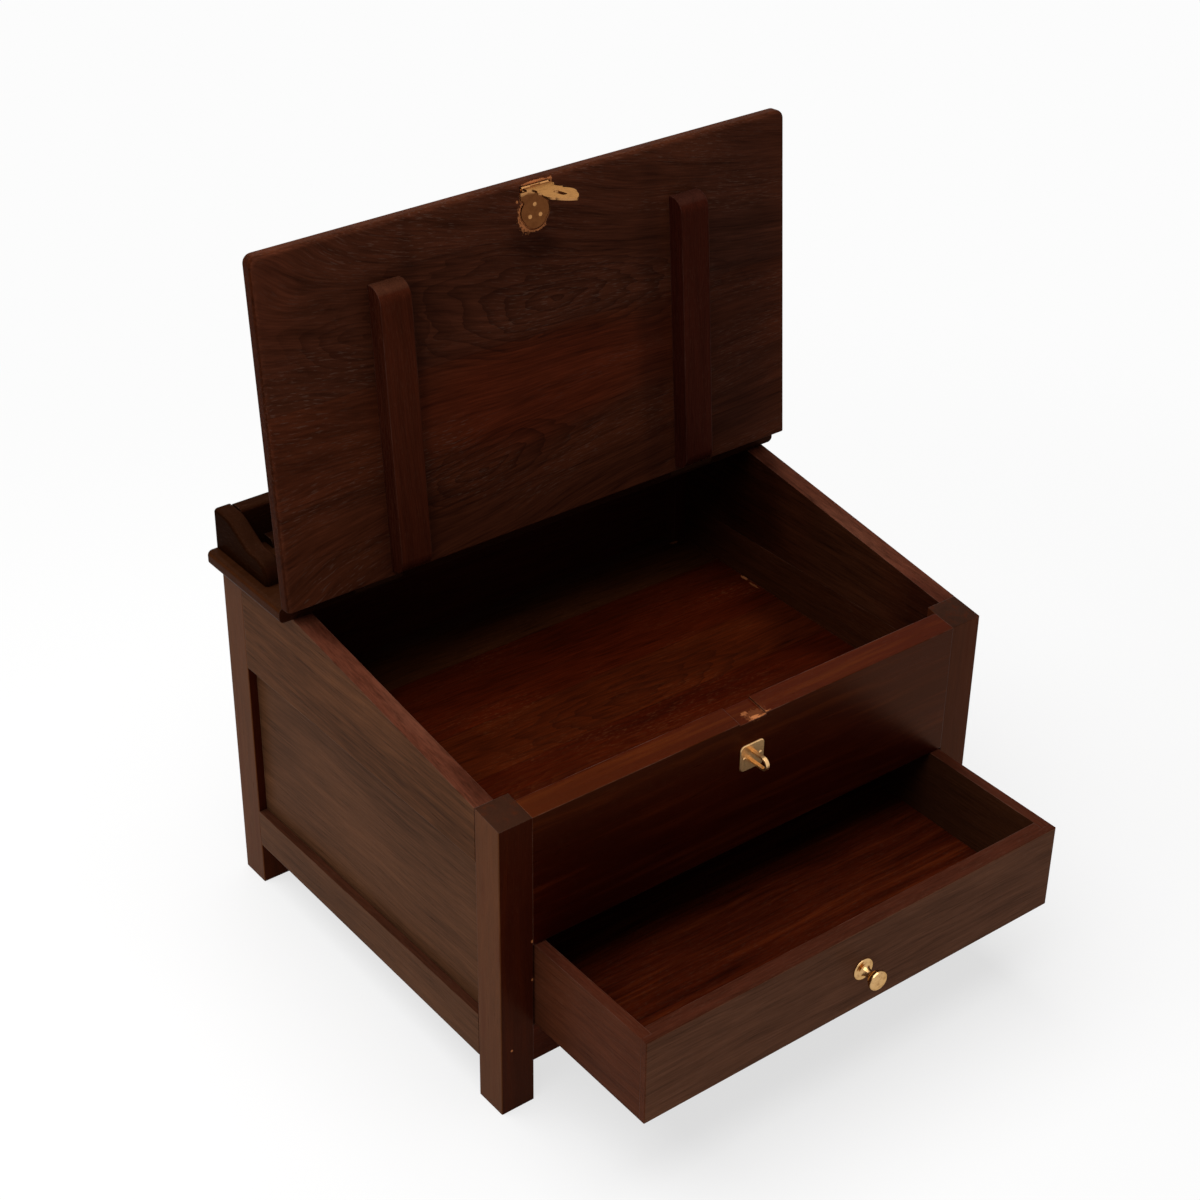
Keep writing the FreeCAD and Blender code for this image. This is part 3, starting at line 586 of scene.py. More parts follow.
@dataclass(frozen=True)
class Wood:
    """Dark stained, fine-grained hardwood under a thin satin lacquer, with painted light and shade in
    its colour.
    """

    name: str
    stain_and_face_light: StainAndFaceLight = StainAndFaceLight()
    figure: Figure = Figure()
    roughness: float = 0.30
    index: float = 1.05
    tint: Colour = (6.0, 2.0, 0.4)
    worn_and_glint: float = 0.30
    worn_and_glint_colour: Colour = (0.150, 0.0900, 0.0700)
    bare: Colour = (0.40, 0.140, 0.050)
    round_edge: float = 0.9
    fibre_gloss: float = 0.14
    fleck_gloss: float = 0.10
    bare_gloss: float = 0.3
    relief: float = 0.22
    relief_depth: float = 0.20

    def cover(self, names: Iterable[str], cut: Cut) -> None:
        """Dress nodes: the first as it was sawn, and each one after it from the next seed."""
        for index, name in enumerate(names):
            dress([name], self.material(replace(cut, seed=cut.seed + index)))

    def material(self, cut: Cut) -> bpy.types.Material:
        """Make the finish for one piece.

        Args:
            cut: How the piece was sawn.

        Returns:
            The material.
        """
        surface = self._surface(cut)
        graph, fibre = surface.graph, surface.fibre
        pores = graph.grained(surface.grain, self.figure.pore, cut.offset(), 1.0)
        flecks = pores.step(*PORE_EDGE) * surface.cloud.step(*self.figure.cluster)
        rounded = graph.node("ShaderNodeBevel", {"samples": 6}, {"Radius": self.round_edge * MM})
        colour = self._figured(surface, flecks)
        # Pale lines on sharp edges: partly wear, and partly a painted highlight where the edges catch
        # the light.
        colour = graph.blend(surface.arris(rounded) * self.worn_and_glint, colour, self.worn_and_glint_colour)
        gloss = self.roughness + fibre.about(self.fibre_gloss) + flecks * self.fleck_gloss
        for scuff in cut.scuffs:
            mask = surface.scuff(scuff)
            colour = graph.blend(mask, colour, graph.scaled(self.bare, 0.45 + fibre * 0.9))
            gloss = gloss + mask * self.bare_gloss
        bumps = graph.node("ShaderNodeBump", None, {
            "Strength": self.relief, "Distance": self.relief_depth * MM,
            "Height": fibre * 0.4 - flecks * 0.8, "Normal": rounded})
        return graph.finish(graph.node("ShaderNodeBsdfPrincipled", None, {
            "Base Color": colour, "Roughness": gloss, "IOR": self.index, "Normal": bumps,
            "Specular Tint": self.tint}))

    def _surface(self, cut: Cut) -> Surface:
        """Start the material of one piece and lay its grain, with a slant and a slow sway.

        Args:
            cut: How the piece was sawn.

        Returns:
            What the rest of the finish works from.
        """
        graph = Graph.of_material(f"{self.name}_{cut.grain.name}_{int(cut.seed * 10)}")
        figure, offset = self.figure, cut.offset()
        place = graph.place(cut.lid)
        along = place[cut.grain.value]
        side, deep = (place[axis.value] for axis in Axis if axis is not cut.grain)
        if cut.standing:
            side, deep = deep, side
        sway = graph.grained((along, side, deep), figure.sway_size, cut.seed, 2.0)
        drift = along * figure.slant + sway.about(figure.sway)
        if figure.fan:
            side = (side - cut.middle) * (1.0 + along * figure.fan) + cut.middle
        grain = (along, side + drift, deep)
        normal = graph.parts(graph.node("ShaderNodeTexCoord", output="Normal"))
        fibre = graph.grained(grain, (figure.fibre_length, figure.thread), offset, 3.0, 0.6)
        band = graph.grained(grain, figure.band_size, -offset, 3.0, 0.6)
        cloud = graph.grained(grain, figure.cloud_size, offset, 2.0)
        return Surface(graph, cut, place, grain, normal, fibre, band, cloud)

    def _figured(self, surface: Surface, flecks: Term) -> Term:
        """Lay the wood's figure over the stain, then the tinted ovals, some of them painted light and
        shade.

        Args:
            surface: What is known at each point.
            flecks: Mask of the open pores.

        Returns:
            The colour.
        """
        graph, cut, figure = surface.graph, surface.cut, self.figure
        shade = (1.0 + surface.fibre.about(figure.fibre) + surface.band.about(figure.band)
                 + surface.cloud.about(figure.cloud))
        colour = self._stain_and_face_light(surface)
        if figure.streak:
            streaks = surface.band.step(*STREAK_EDGE) * figure.streak
            colour = graph.blend(streaks, colour, figure.streak_colour)
        if cut.boards:
            shade = shade - surface.seams()
        colour = graph.scaled(colour, shade.most(DARKEST))
        for patch in cut.patches:
            colour = surface.patch(patch, colour)
        for arch in cut.arches:
            colour = surface.arch(arch, colour)
        return graph.blend(flecks * figure.fleck, colour, figure.fleck_colour)

    def _stain_and_face_light(self, surface: Surface) -> Term:
        """Choose the colour by the way that a face looks: the stain, with painted light and shade.

        Args:
            surface: What is known at each point.

        Returns:
            The stain's colour.
        """
        graph, cut, stain_and_face_light = surface.graph, surface.cut, self.stain_and_face_light
        front, up = surface.faces(Axis.Y, -1.0), surface.faces(Axis.Z)
        outward = (surface.normal[0] * surface.place[0]).step(*OUTWARD)
        rear = surface.place[1].step(cut.rear_from, cut.rear_from + 4.0)
        # Painted light and shade: each way that a face looks gets a colour of its own.
        colour = graph.blend(front, stain_and_face_light.inner, stain_and_face_light.front)
        colour = graph.blend(outward, colour, stain_and_face_light.flank)
        colour = graph.blend(surface.faces(Axis.Y) * rear, colour, stain_and_face_light.rear)
        if not cut.boards:
            return graph.blend(up, colour, stain_and_face_light.crown)
        face = up if cut.boards.axis is Axis.Y else front
        return graph.blend(face, colour, surface.boards())


@dataclass(frozen=True)
class Brass:
    """Cast and filed brass under old lacquer. Sizes are in millimetres."""

    name: str
    bright: Colour = (0.42, 0.200, 0.072)
    dull: Colour = (0.18, 0.085, 0.032)
    roughness: float = 0.30
    tarnish: float = 0.55
    speckle: float = 0.25
    soil: Colour = (0.095, 0.026, 0.007)
    edge: Colour = (0.80, 0.63, 0.46)
    cloud_size: float = 4.0
    grit_size: float = 0.4
    relief: float = 0.25
    relief_depth: float = 0.1

    def material(self, lid: LidPlace | None = None, soiled_below: float = 0.0) -> bpy.types.Material:
        """Make the finish.

        Args:
            lid: Where the lid stands, for metal that is let into it.
            soiled_below: Height on the upright lid, in millimetres, under which the metal is
            darker and duller. 0 keeps it even.

        Returns:
            The material.
        """
        graph = Graph.of_material(f"{self.name}_{int(soiled_below)}")
        place = graph.place(lid)
        cloud = graph.noise(graph.vector(*(axis / self.cloud_size for axis in place)), 3.0, 0.6)
        grit = graph.noise(graph.vector(*(axis / self.grit_size for axis in place)), 2.0)
        dulled = cloud.step(*TARNISH_EDGE) * self.tarnish + grit.step(*GRIT_EDGE) * self.speckle
        colour = graph.blend(dulled, self.bright, self.dull)
        gloss = self.roughness + cloud.about(0.25) + grit.about(0.1)
        # Darker and duller below a height on the upright lid.
        if soiled_below:
            soiled = (place[2] + cloud.about(5.0)).step(soiled_below + 1.0, soiled_below - 1.0)
            colour = graph.blend(soiled * (0.75 + grit * 0.25), colour, self.soil)
            gloss = gloss + soiled * 0.2
        bumps = graph.node("ShaderNodeBump", None, {
            "Strength": self.relief, "Distance": self.relief_depth * MM,
            "Height": grit * 0.5 + cloud})
        return graph.finish(graph.node("ShaderNodeBsdfPrincipled", None, {
            "Base Color": colour, "Metallic": 1.0, "Roughness": gloss, "Normal": bumps,
            "Specular Tint": self.edge}))


HASP_BRASS = Brass("hasp_brass")
STAPLE_BRASS = Brass("staple_brass", (0.75, 0.46, 0.21), (0.40, 0.22, 0.09), roughness=0.34)
KNOB_BRASS = Brass("knob_brass", (0.58, 0.355, 0.155), (0.28, 0.145, 0.055), roughness=0.20,
                   tarnish=0.6)
# Painted shade: the hinge metal is near black, as dark as the shade at the foot of the lid, so that the
# hinges sink into it.
HINGE_METAL_IN_PAINTED_SHADE = Brass("hinge_metal", (0.030, 0.0110, 0.0050), (0.018, 0.0070, 0.0032), roughness=0.5)
# The outward faces are painted lighter, as a painted sheen of the bright floor that they face.
OUTSIDE = Wood("outside_stain", StainAndFaceLight(flank=(0.077, 0.0318, 0.0146), inner=(0.036, 0.0092, 0.0030)),
               Figure(fibre=1.3, band=0.9, cloud=0.7, fleck=0.16, thread=1.3))
INSIDE = Wood("inside_stain", roughness=0.5, tint=WHITE)


# ---- Mesh tools ----

def dress(names: Iterable[str], material: bpy.types.Material) -> None:
    """Put a material on CAD nodes.

    Args:
        names: The nodes.
        material: What they get.
    """
    for name in names:
        body = bpy.data.objects[name]
        for slot in body.material_slots:
            slot.material = material
        if not body.material_slots:
            body.data.materials.append(material)


def new_piece(name: str, build: bmesh.types.BMesh, material: bpy.types.Material,
              body: str) -> bpy.types.Object:
    """Turn a bmesh into a brass piece that rides on a body.

    Args:
        name: The piece's name.
        build: Its mesh, freed here.
        material: Its finish.
        body: The CAD body that carries it.

    Returns:
        The new object.
    """
    mesh = bpy.data.meshes.new(name)
    bmesh.ops.recalc_face_normals(build, faces=build.faces)
    build.to_mesh(mesh)
    build.free()
    mesh.materials.append(material)
    piece = bpy.data.objects.new(name, mesh)
    bpy.context.scene.collection.objects.link(piece)
    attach(piece, body)
    log.info("  %s rides on %s", name, body)
    return piece


def aim(normal: Vector) -> Matrix:
    """Return the rotation that turns +Z to a direction."""
    return Vector((0, 0, 1)).rotation_difference(normal).to_matrix().to_4x4()


def ring(build: bmesh.types.BMesh, place: Matrix, radius: float, height: float,
         segments: int) -> Ring:
    """Add one ring of points.

    Args:
        build: The mesh that takes them.
        place: Where the ring's axis stands.
        radius: The ring's radius.
        height: How far along the axis it lies.
        segments: The number of points.

    Returns:
        The points.
    """
    turn = 2 * math.pi / segments
    return [build.verts.new(place @ Vector((radius * math.cos(count * turn),
                                            radius * math.sin(count * turn), height)))
            for count in range(segments)]


def skin(build: bmesh.types.BMesh, rows: list[Ring]) -> None:
    """Join rings of points with smooth faces, and cap both ends.

    Args:
        build: The mesh that holds them.
        rows: The rings in order.
    """
    for low, high in zip(rows, rows[1:]):
        for index, (first, second) in enumerate(zip(low, high)):
            after = (index + 1) % len(low)
            build.faces.new((first, low[after], high[after], second)).smooth = True
    build.faces.new(rows[-1])
    build.faces.new(list(reversed(rows[0])))


@dataclass
class ScrewHead:
    """Domed or flat head of a small fastener, slotted if asked. Sizes are in millimetres."""

    radius: float = 2.2
    dome: float = 0.45
    sunk: float = 0.25
    slot: float = 0.0
    slot_floor: float = 0.15
    turn: float = 20.0
    segments: int = 28
    rings: int = 5
    tip: float = 0.12

    def add(self, build: bmesh.types.BMesh, centre: Vector, normal: Vector,
            after: Matrix = Matrix.Identity(4)) -> None:
        """Add one head to a mesh, pressed down where its slot runs.

        Args:
            build: The mesh that takes it.
            centre: The middle of its seat, in metres.
            normal: The way it faces.
            after: What moves it once it is placed.
        """
        place = (after @ Matrix.Translation(centre) @ aim(normal)
                 @ Matrix.Rotation(math.radians(self.turn), 4, "Z") @ Matrix.Scale(MM, 4))
        back = place.inverted()
        rows = [ring(build, place, self.radius, -self.sunk, self.segments)]
        for count in range(self.rings + 1):
            rise = count / self.rings * math.pi / 2
            radius, height = max(self.radius * math.cos(rise), self.tip), self.dome * math.sin(rise)
            rows.append(ring(build, place, radius, height, self.segments))
            for point in rows[-1]:
                local = back @ point.co
                if abs(local.y) < self.slot * 0.55:
                    local.z = min(height, self.dome * self.slot_floor)
                    point.co = place @ local
        skin(build, rows)


# ---- Sub-assemblies ----

@dataclass
class Carcase:
    """Posts, rails, panels and floor. Sizes are in millimetres."""

    post_stain_and_face_light: StainAndFaceLight = StainAndFaceLight(flank=(0.084, 0.0280, 0.0098), crown=(0.022, 0.0080, 0.0048),
                           front=(0.0313, 0.0048, 0.0017), inner=(0.060, 0.0140, 0.0050))
    # Painted light: the front face of the front right post is painted paler, as a painted reflection of
    # the bright floor.
    painted_lit_front: Colour = (0.070, 0.0195, 0.0084)
    post_chips: tuple[tuple[float, float, float, float], ...] = (
        (0.6, 149.0, 0.9, 1.5), (0.6, 114.0, 0.8, 1.2), (19.0, 57.0, 1.1, 1.1))
    rim_stain_and_face_light: StainAndFaceLight = StainAndFaceLight(crown=(0.0715, 0.0200, 0.0104), flank=(0.075, 0.0285, 0.0113))
    board_stain_and_face_light: StainAndFaceLight = StainAndFaceLight(front=(0.0185, 0.0012, 0.0004), crown=(0.025, 0.0006, 0.0003),
                            inner=(0.020, 0.0040, 0.0015))
    rim_drop: float = 3.0
    floor_joints: tuple[float, ...] = (40.0, 98.0, 178.0)
    floor_colours: tuple[Colour, ...] = ((0.038, 0.0042, 0.0007), (0.047, 0.0068, 0.0012),
                                         (0.043, 0.0048, 0.0008), (0.042, 0.0116, 0.0034))

    def build(self) -> None:
        """Dress every piece of the carcase."""
        self._posts()
        self._rails()
        self._front_board()
        self._panels()
        self._floor()
        self._drawer_ways()

    def _posts(self) -> None:
        """Dress the corner posts. The front left one is chipped, and the front right one has painted
        light on its front face.
        """
        wood = Wood("post_stain_and_light", self.post_stain_and_face_light, Figure(streak=0.5, fleck=0.06), index=1.07, worn_and_glint=0.42)
        painted_lit_posts = replace(wood, name="pale_post_stain", stain_and_face_light=replace(self.post_stain_and_face_light, front=self.painted_lit_front))
        low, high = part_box("post_front_left")
        chips = tuple(Scuff((high.x / MM - inward, low.y / MM, height), (width, 1.0, tall))
                      for inward, height, width, tall in self.post_chips)
        wood.cover(["post_front_left"], Cut(Axis.Z, seed=1.3, scuffs=chips))
        painted_lit_posts.cover(["post_front_right"], Cut(Axis.Z, seed=2.3))
        wood.cover(["post_back_left", "post_back_right"], Cut(Axis.Z, seed=3.3))

    def _rails(self) -> None:
        """Dress the rails of the sides, the back and the drawer opening."""
        rim = Wood("rim_stain_and_light", self.rim_stain_and_face_light,
                   Figure(fibre=1.6, band=1.1, cloud=0.8, slant=0.0, sway=0.0, thread=1.6))
        for seed, name in ((6.1, "side_top_rail_left"), (7.1, "side_top_rail_right")):
            low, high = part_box(name)
            inner = min(low.x, high.x, key=abs) / MM
            # Painted light and shade along the rim's top: darker at the back and towards the front, with
            # a paler, greyer painted sheen in the middle.
            painted_light_and_shade = (Patch((140.0, inner), (40.0, 13.0), (0.50, 0.44, 0.42)),
                      Patch((22.0, inner), (48.0, 13.0), (1.12, 1.25, 1.30)),
                      Patch((-72.0, inner), (40.0, 13.0), (0.66, 0.60, 0.62)))
            rim.cover([name], Cut(Axis.Y, seed, patches=painted_light_and_shade))
        OUTSIDE.cover(["side_bottom_rail_left", "side_bottom_rail_right"],
                      Cut(Axis.Y, seed=8.1, standing=True))
        OUTSIDE.cover(["back_top_rail", "back_bottom_rail", "front_bottom_rail"],
                      Cut(Axis.X, seed=11.4, standing=True))

    def _front_board(self) -> None:
        """Dress the front board, whose rim is chipped where the hasp closes on it."""
        wood = Wood("front_board_stain", self.board_stain_and_face_light, Figure(streak=0.8, fleck=0.04, band=0.9),
                    index=1.11, tint=(8.5, 2.4, 0.25), worn_and_glint=0.5)
        # Painted shade: the left part of the board is tinted darker, where less of the bright floor is
        # reflected.
        left = (Patch((-150.0, 232.0), (80.0, 300.0), (0.80, 0.66, 0.66)),)
        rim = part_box("front_board")[0].y / MM
        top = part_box("post_front_left")[1].z / MM - self.rim_drop
        chips = (Scuff((1.5, rim + 2.4, top), (4.4, 1.7, 7.0), 3.0),
                 Scuff((-3.5, rim + 8.8, top + 1.5), (3.4, 1.7, 6.0), 3.2, strength=0.55),
                 Scuff((4.5, rim + 1.2, top), (9.0, 1.0, 7.0), 2.8, strength=0.6),
                 Scuff((3.0, rim + 4.6, top), (9.0, 4.6, 7.0), 2.4, strength=0.16))
        wood.cover(["front_board"], Cut(Axis.X, seed=15.2, scuffs=chips, patches=left, standing=True))

    def _panels(self) -> None:
        """Dress the side and back panels."""
        OUTSIDE.cover(["side_panel_left", "side_panel_right"], Cut(Axis.Y, seed=17.5, standing=True))
        back = Wood("back_stain_and_light", StainAndFaceLight(inner=(0.075, 0.0280, 0.0100)), OUTSIDE.figure)
        back.cover(["back_panel"], Cut(Axis.X, seed=20.5, standing=True))

    def _floor(self) -> None:
        """Dress the compartment's floor, glued up from boards."""
        low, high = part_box("compartment_floor")
        front, right, rear, top = low.y / MM, high.x / MM, high.y / MM, high.z / MM
        marks = (Scuff((right - 1.5, rear - 82.0, top), (1.6, 4.0, 2.0), 2.6, strength=0.5),
                 Scuff((right - 3.0, rear - 96.0, top), (1.2, 6.0, 2.0), 2.4, strength=0.25),
                 Scuff((right - 13.0, rear, top), (4.0, 3.0, 2.0), 2.6, strength=0.6))
        arches = (Arch((70.0, front + 48.0), 60.0, 6.0, (0.060, 0.0200, 0.0080), 0.22),
                  Arch((-60.0, front + 90.0), 40.0, 5.0, (0.070, 0.0150, 0.0035), 0.25),
                  Arch((20.0, front + 150.0), 46.0, 7.0, (0.0130, 0.0022, 0.0008), 0.55))
        # Painted light and shade on the floor: the oval at the right is painted shade, the strip along
        # the front at the left painted light, and the narrow strip across the middle is darker.
        painted_light_and_shade = (Patch((212.0, 60.0), (46.0, 190.0), (0.66, 0.66, 0.72)),
                  Patch((-120.0, front + 22.0), (95.0, 16.0), (1.35, 1.30, 1.0)),
                  Patch((40.0, front + 118.0), (120.0, 12.0), (0.72, 0.62, 0.60)))
        figure = Figure(fibre=1.8, band=1.5, cloud=1.3, fleck=0.30, slant=0.03, thread=1.5,
                        fleck_colour=(0.120, 0.0380, 0.0160), pore=(5.0, 0.9),
                        cluster=(0.42, 0.66), streak=0.55, streak_colour=(0.0100, 0.0022, 0.0008))
        boards = Boards(Axis.Y, self.floor_joints, self.floor_colours, seam=0.3)
        wood = replace(INSIDE, name="floor_stain", figure=figure)
        wood.cover(["compartment_floor"], Cut(Axis.X, 22.7, boards, arches, marks, painted_light_and_shade))
        INSIDE.cover(["floor_rear_strip"], Cut(Axis.X, seed=24.1))

    def _drawer_ways(self) -> None:
        """Dress what carries and guides the drawer."""
        names = ("drawer_runner_left", "drawer_runner_right", "drawer_guide_left",
                 "drawer_guide_right", "floor_bearer_left", "floor_bearer_right", "drawer_stops")
        dress(names, INSIDE.material(Cut(Axis.Y, seed=25.9)))


@dataclass
class Shelf:
    """Fixed shelf behind the lid, with its gallery."""

    stain_and_face_light: StainAndFaceLight = StainAndFaceLight(front=(0.026, 0.0062, 0.0024), crown=(0.024, 0.0070, 0.0024),
                      flank=(0.034, 0.0082, 0.0014), inner=(0.022, 0.0060, 0.0022))
    gallery_stain_and_face_light: StainAndFaceLight = StainAndFaceLight(front=(0.020, 0.0050, 0.0018), crown=(0.016, 0.0046, 0.0018),
                              flank=(0.0105, 0.0026, 0.0006), inner=(0.018, 0.0048, 0.0018))

    def build(self) -> None:
        """Dress the shelf and the gallery."""
        shelf = Wood("shelf_stain_and_light", self.stain_and_face_light, tint=(3.0, 1.6, 0.8))
        shelf.cover(["shelf"], Cut(Axis.X, seed=27.3))
        wood = Wood("gallery_stain", self.gallery_stain_and_face_light, roughness=0.24, index=1.02,
                    tint=(6.0, 3.0, 1.5))
        wood.cover(["gallery_back"], Cut(Axis.X, seed=28.8, standing=True))
        wood.cover(["gallery_sides"], Cut(Axis.Y, seed=30.2))
        wood.cover(["gallery_pen_stop"], Cut(Axis.X, seed=31.6))


@dataclass
class Lid:
    """Lid board and its battens. Heights are in millimetres on the upright lid."""

    place: LidPlace
    hasp_pin: Vector
    recess: float = 13.6
    joints: tuple[float, ...] = (343.0, 388.0, 460.0)
    colours: tuple[Colour, ...] = ((0.047, 0.0122, 0.0052), (0.048, 0.0120, 0.0050),
                                   (0.050, 0.0119, 0.0048), (0.045, 0.0122, 0.0056))
    seam: float = 0.25
    board: StainAndFaceLight = StainAndFaceLight(flank=(0.029, 0.0062, 0.0018), crown=(0.040, 0.0140, 0.0090))
    batten: StainAndFaceLight = StainAndFaceLight(front=(0.037, 0.0073, 0.0030), flank=(0.032, 0.0066, 0.0029),
                        inner=(0.037, 0.0073, 0.0030))

    def build(self) -> None:
        """Dress the lid."""
        self._board()
        self._battens()

    def _board(self) -> None:
        """Dress the lid board, which is bare wood where the hasp is let in."""
        boards = Boards(Axis.Z, self.joints, self.colours, self.seam)
        arches = (Arch((15.0, 484.0), 62.0, 6.5, (0.0140, 0.0036, 0.0018), 0.62),
                  Arch((-60.0, 372.0), 34.0, 5.5, (0.0160, 0.0038, 0.0016), 0.65),
                  Arch((-150.0, 470.0), 26.0, 5.0, (0.0160, 0.0038, 0.0016), 0.50))
        # Tints of the board: a redder zone in the middle, darker and greyer towards the right end,
        # painted shadow and dirt in narrow strips beside the battens, a darker spot near the hasp, and a
        # paler patch of wear at the left edge.
        patches = (Patch((0.0, 418.0), (130.0, 45.0), (1.24, 0.90, 0.80)),
                   Patch((185.0, 440.0), (50.0, 200.0), (0.68, 0.74, 0.85)),
                   Patch((102.0, 420.0), (15.0, 180.0), (0.72, 0.72, 0.75)),
                   Patch((-113.0, 420.0), (9.0, 180.0), (0.78, 0.78, 0.80)),
                   Patch((-5.0, 525.0), (24.0, 14.0), (0.60, 0.58, 0.60)),
                   Patch((-222.0, 520.0), (22.0, 70.0), (1.25, 1.20, 1.20)))
        cut = Cut(Axis.X, 33.4, boards, arches, self._scuffs(), patches, self.place,
                  rear_from=100.0, middle=425.0, standing=True)
        figure = Figure(fibre=1.6, band=1.3, cloud=0.6, fleck=0.30, slant=0.03, sway=26.0,
                        fan=0.0018, pore=(8.0, 0.75), cluster=(0.40, 0.64), thread=1.5,
                        fleck_colour=(0.115, 0.064, 0.046))
        wood = replace(INSIDE, name="lid_stain_and_light", stain_and_face_light=self.board, figure=figure)
        wood.cover(["lid_board"], cut)

    def _scuffs(self) -> tuple[Scuff, ...]:
        """Find the bare wood round the hasp's fixed leaf.

        Returns:
            Its recess, the ragged rim of that and a few chips.
        """
        pin = self.place.upright(self.hasp_pin) / MM
        face = pin.y - 0.1
        return (Scuff((pin.x, face + 1.4, pin.z - 16.0), (self.recess, 1.2, 18.6), 0.15, True),
                Scuff((pin.x - 8.0, face, pin.z - 20.0), (7.4, 1.2, 12.5), 1.5),
                Scuff((pin.x, face, pin.z - 30.0), (8.0, 1.2, 3.6), 1.4),
                Scuff((pin.x + 2.0, face, pin.z + 3.2), (13.0, 1.2, 2.4), 1.5, strength=0.85),
                Scuff((pin.x - 15.5, face, pin.z - 8.0), (1.1, 1.0, 1.2), 0.6),
                Scuff((pin.x + 15.0, face, pin.z + 3.5), (1.0, 1.0, 3.6), 0.8, strength=0.7))

    def _battens(self) -> None:
        """Dress the battens. The right one is darker."""
        wood = Wood("batten_stain", self.batten, Figure(fibre=1.1, band=0.9), roughness=0.27,
                    tint=(6.0, 1.5, 0.6))
        darker = (Patch((420.0, 110.0), (400.0, 400.0), (0.72, 0.64, 0.80)),)
        wood.cover(["batten_left"], Cut(Axis.Z, seed=36.6, lid=self.place))
        wood.cover(["batten_right"], Cut(Axis.Z, seed=37.6, patches=darker, lid=self.place))


@dataclass
class HingePair:
    """The lid's two butt hinges and their screws. Sizes are in millimetres."""

    place: LidPlace
    centre: float = 150.0
    spread: float = 14.0
    row: float = 8.15
    lid_face: float = 1.2
    turn: float = 47.0
    head: ScrewHead = field(default_factory=lambda: ScrewHead(2.2, 0.25, 0.3, 0.55))

    def build(self) -> None:
        """Dress the leaves and add the screws."""
        metal = HINGE_METAL_IN_PAINTED_SHADE.material()
        dress(["hinge_shelf_leaves", "hinge_lid_leaves", "hinge_pins"], metal)
        low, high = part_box("shelf")
        pin = self.place.pin
        fixed, swinging = bmesh.new(), bmesh.new()
        for side in (-self.centre, self.centre):
            for step in (-self.spread, self.spread):
                self.head.turn += self.turn
                across = (side + step) * MM
                self.head.add(fixed, Vector((across, low.y, (low.z + high.z) / 2)), FORWARD)
                self.head.add(swinging,
                              Vector((across, pin.y - self.row * MM, pin.z + self.lid_face * MM)),
                              Vector((0, 0, -1)), self.place.rest())
        new_piece("hinge_screws_shelf", fixed, metal, "case")
        new_piece("hinge_screws_lid", swinging, metal, "lid")


@dataclass
class Hasp:
    """Hasp on the lid: two leaves, a pin and three nails. Sizes are in millimetres."""

    place: LidPlace
    pin: Vector
    sunk: float = 0.1
    darker_drop: float = 4.5
    nails: tuple[Span, ...] = ((0.0, 13.2), (-4.6, 21.8), (4.6, 21.8))
    nail: ScrewHead = field(default_factory=lambda: ScrewHead(1.7, 0.2, 0.2, segments=20))

    def build(self) -> None:
        """Dress the leaves and add the nails."""
        metal = HASP_BRASS.material()
        dress(["hasp_pin", "hasp_leaf"], metal)
        pin = self.place.upright(self.pin)
        dress(["hasp_fixed_leaf"], HASP_BRASS.material(self.place, pin.z / MM - self.darker_drop))
        heads = bmesh.new()
        for across, down in self.nails:
            seat = pin + Vector((across, self.sunk, -down)) * MM
            self.nail.add(heads, seat, FORWARD, self.place.rest())
        new_piece("hasp_nails", heads, metal, "lid")


@dataclass
class Staple:
    """Staple plate on the front board, with a nail at each side. Sizes are in millimetres."""

    spread: float = 7.4
    nail: ScrewHead = field(default_factory=lambda: ScrewHead(1.6, 0.45, 0.1, segments=20))

    def build(self) -> None:
        """Dress the plate and the eye and add the nails."""
        metal = STAPLE_BRASS.material()
        dress(["staple_plate", "staple_eye"], metal)
        low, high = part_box("staple_plate")
        heads = bmesh.new()
        for side in (-self.spread, self.spread):
            seat = Vector(((low.x + high.x) / 2 + side * MM, low.y, (low.z + high.z) / 2))
            self.nail.add(heads, seat, FORWARD)
        new_piece("staple_nails", heads, metal, "case")


@dataclass
class Knob:
    """Turned brass knob on its rose. Reaches and radii are in millimetres."""

    profile: tuple[Span, ...] = (
        (0.0, 9.0), (0.7, 9.0), (1.3, 8.6), (1.7, 7.6), (1.8, 6.0), (2.1, 4.9), (2.9, 4.1),
        (4.4, 3.5), (6.4, 3.0), (8.4, 2.75), (9.2, 3.1), (9.9, 4.1), (11.2, 5.7), (12.8, 7.1),
        (14.4, 7.85), (15.6, 8.0), (16.6, 7.8), (17.3, 7.2), (17.7, 6.3), (17.85, 4.6),
        (17.95, 2.4), (17.97, 0.6))
    steps: int = 4
    segments: int = 56

    def build(self) -> None:
        """Turn the knob and set it on the drawer's face."""
        metal = KNOB_BRASS.material()
        low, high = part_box("knob_rose")
        face = Vector(((low.x + high.x) / 2, high.y, (low.z + high.z) / 2))
        place = Matrix.Translation(face) @ aim(FORWARD) @ Matrix.Scale(MM, 4)
        build = bmesh.new()
        rows = [ring(build, place, radius, reach, self.segments) for reach, radius in self._curve()]
        skin(build, rows)
        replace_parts(new_piece("turned_knob", build, metal, "drawer"), "knob", "knob_rose")
        dress(["knob_screw"], metal)

    def _curve(self) -> list[Span]:
        """Pass a smooth curve through the profile.

        Returns:
            Reaches and radii along the curve.
        """
        points = [Vector(point) for point in self.profile]
        curve = [points[0]]
        for index, (here, there) in enumerate(zip(points, points[1:])):
            before = points[max(index - 1, 0)]
            after = points[min(index + 2, len(points) - 1)]
            for count in range(1, self.steps + 1):
                share = count / self.steps
                curve.append(here.lerp(there, share) + (here - before + there - after)
                             * (share * (1 - share) / 4))
        return [(point.x, point.y) for point in curve]


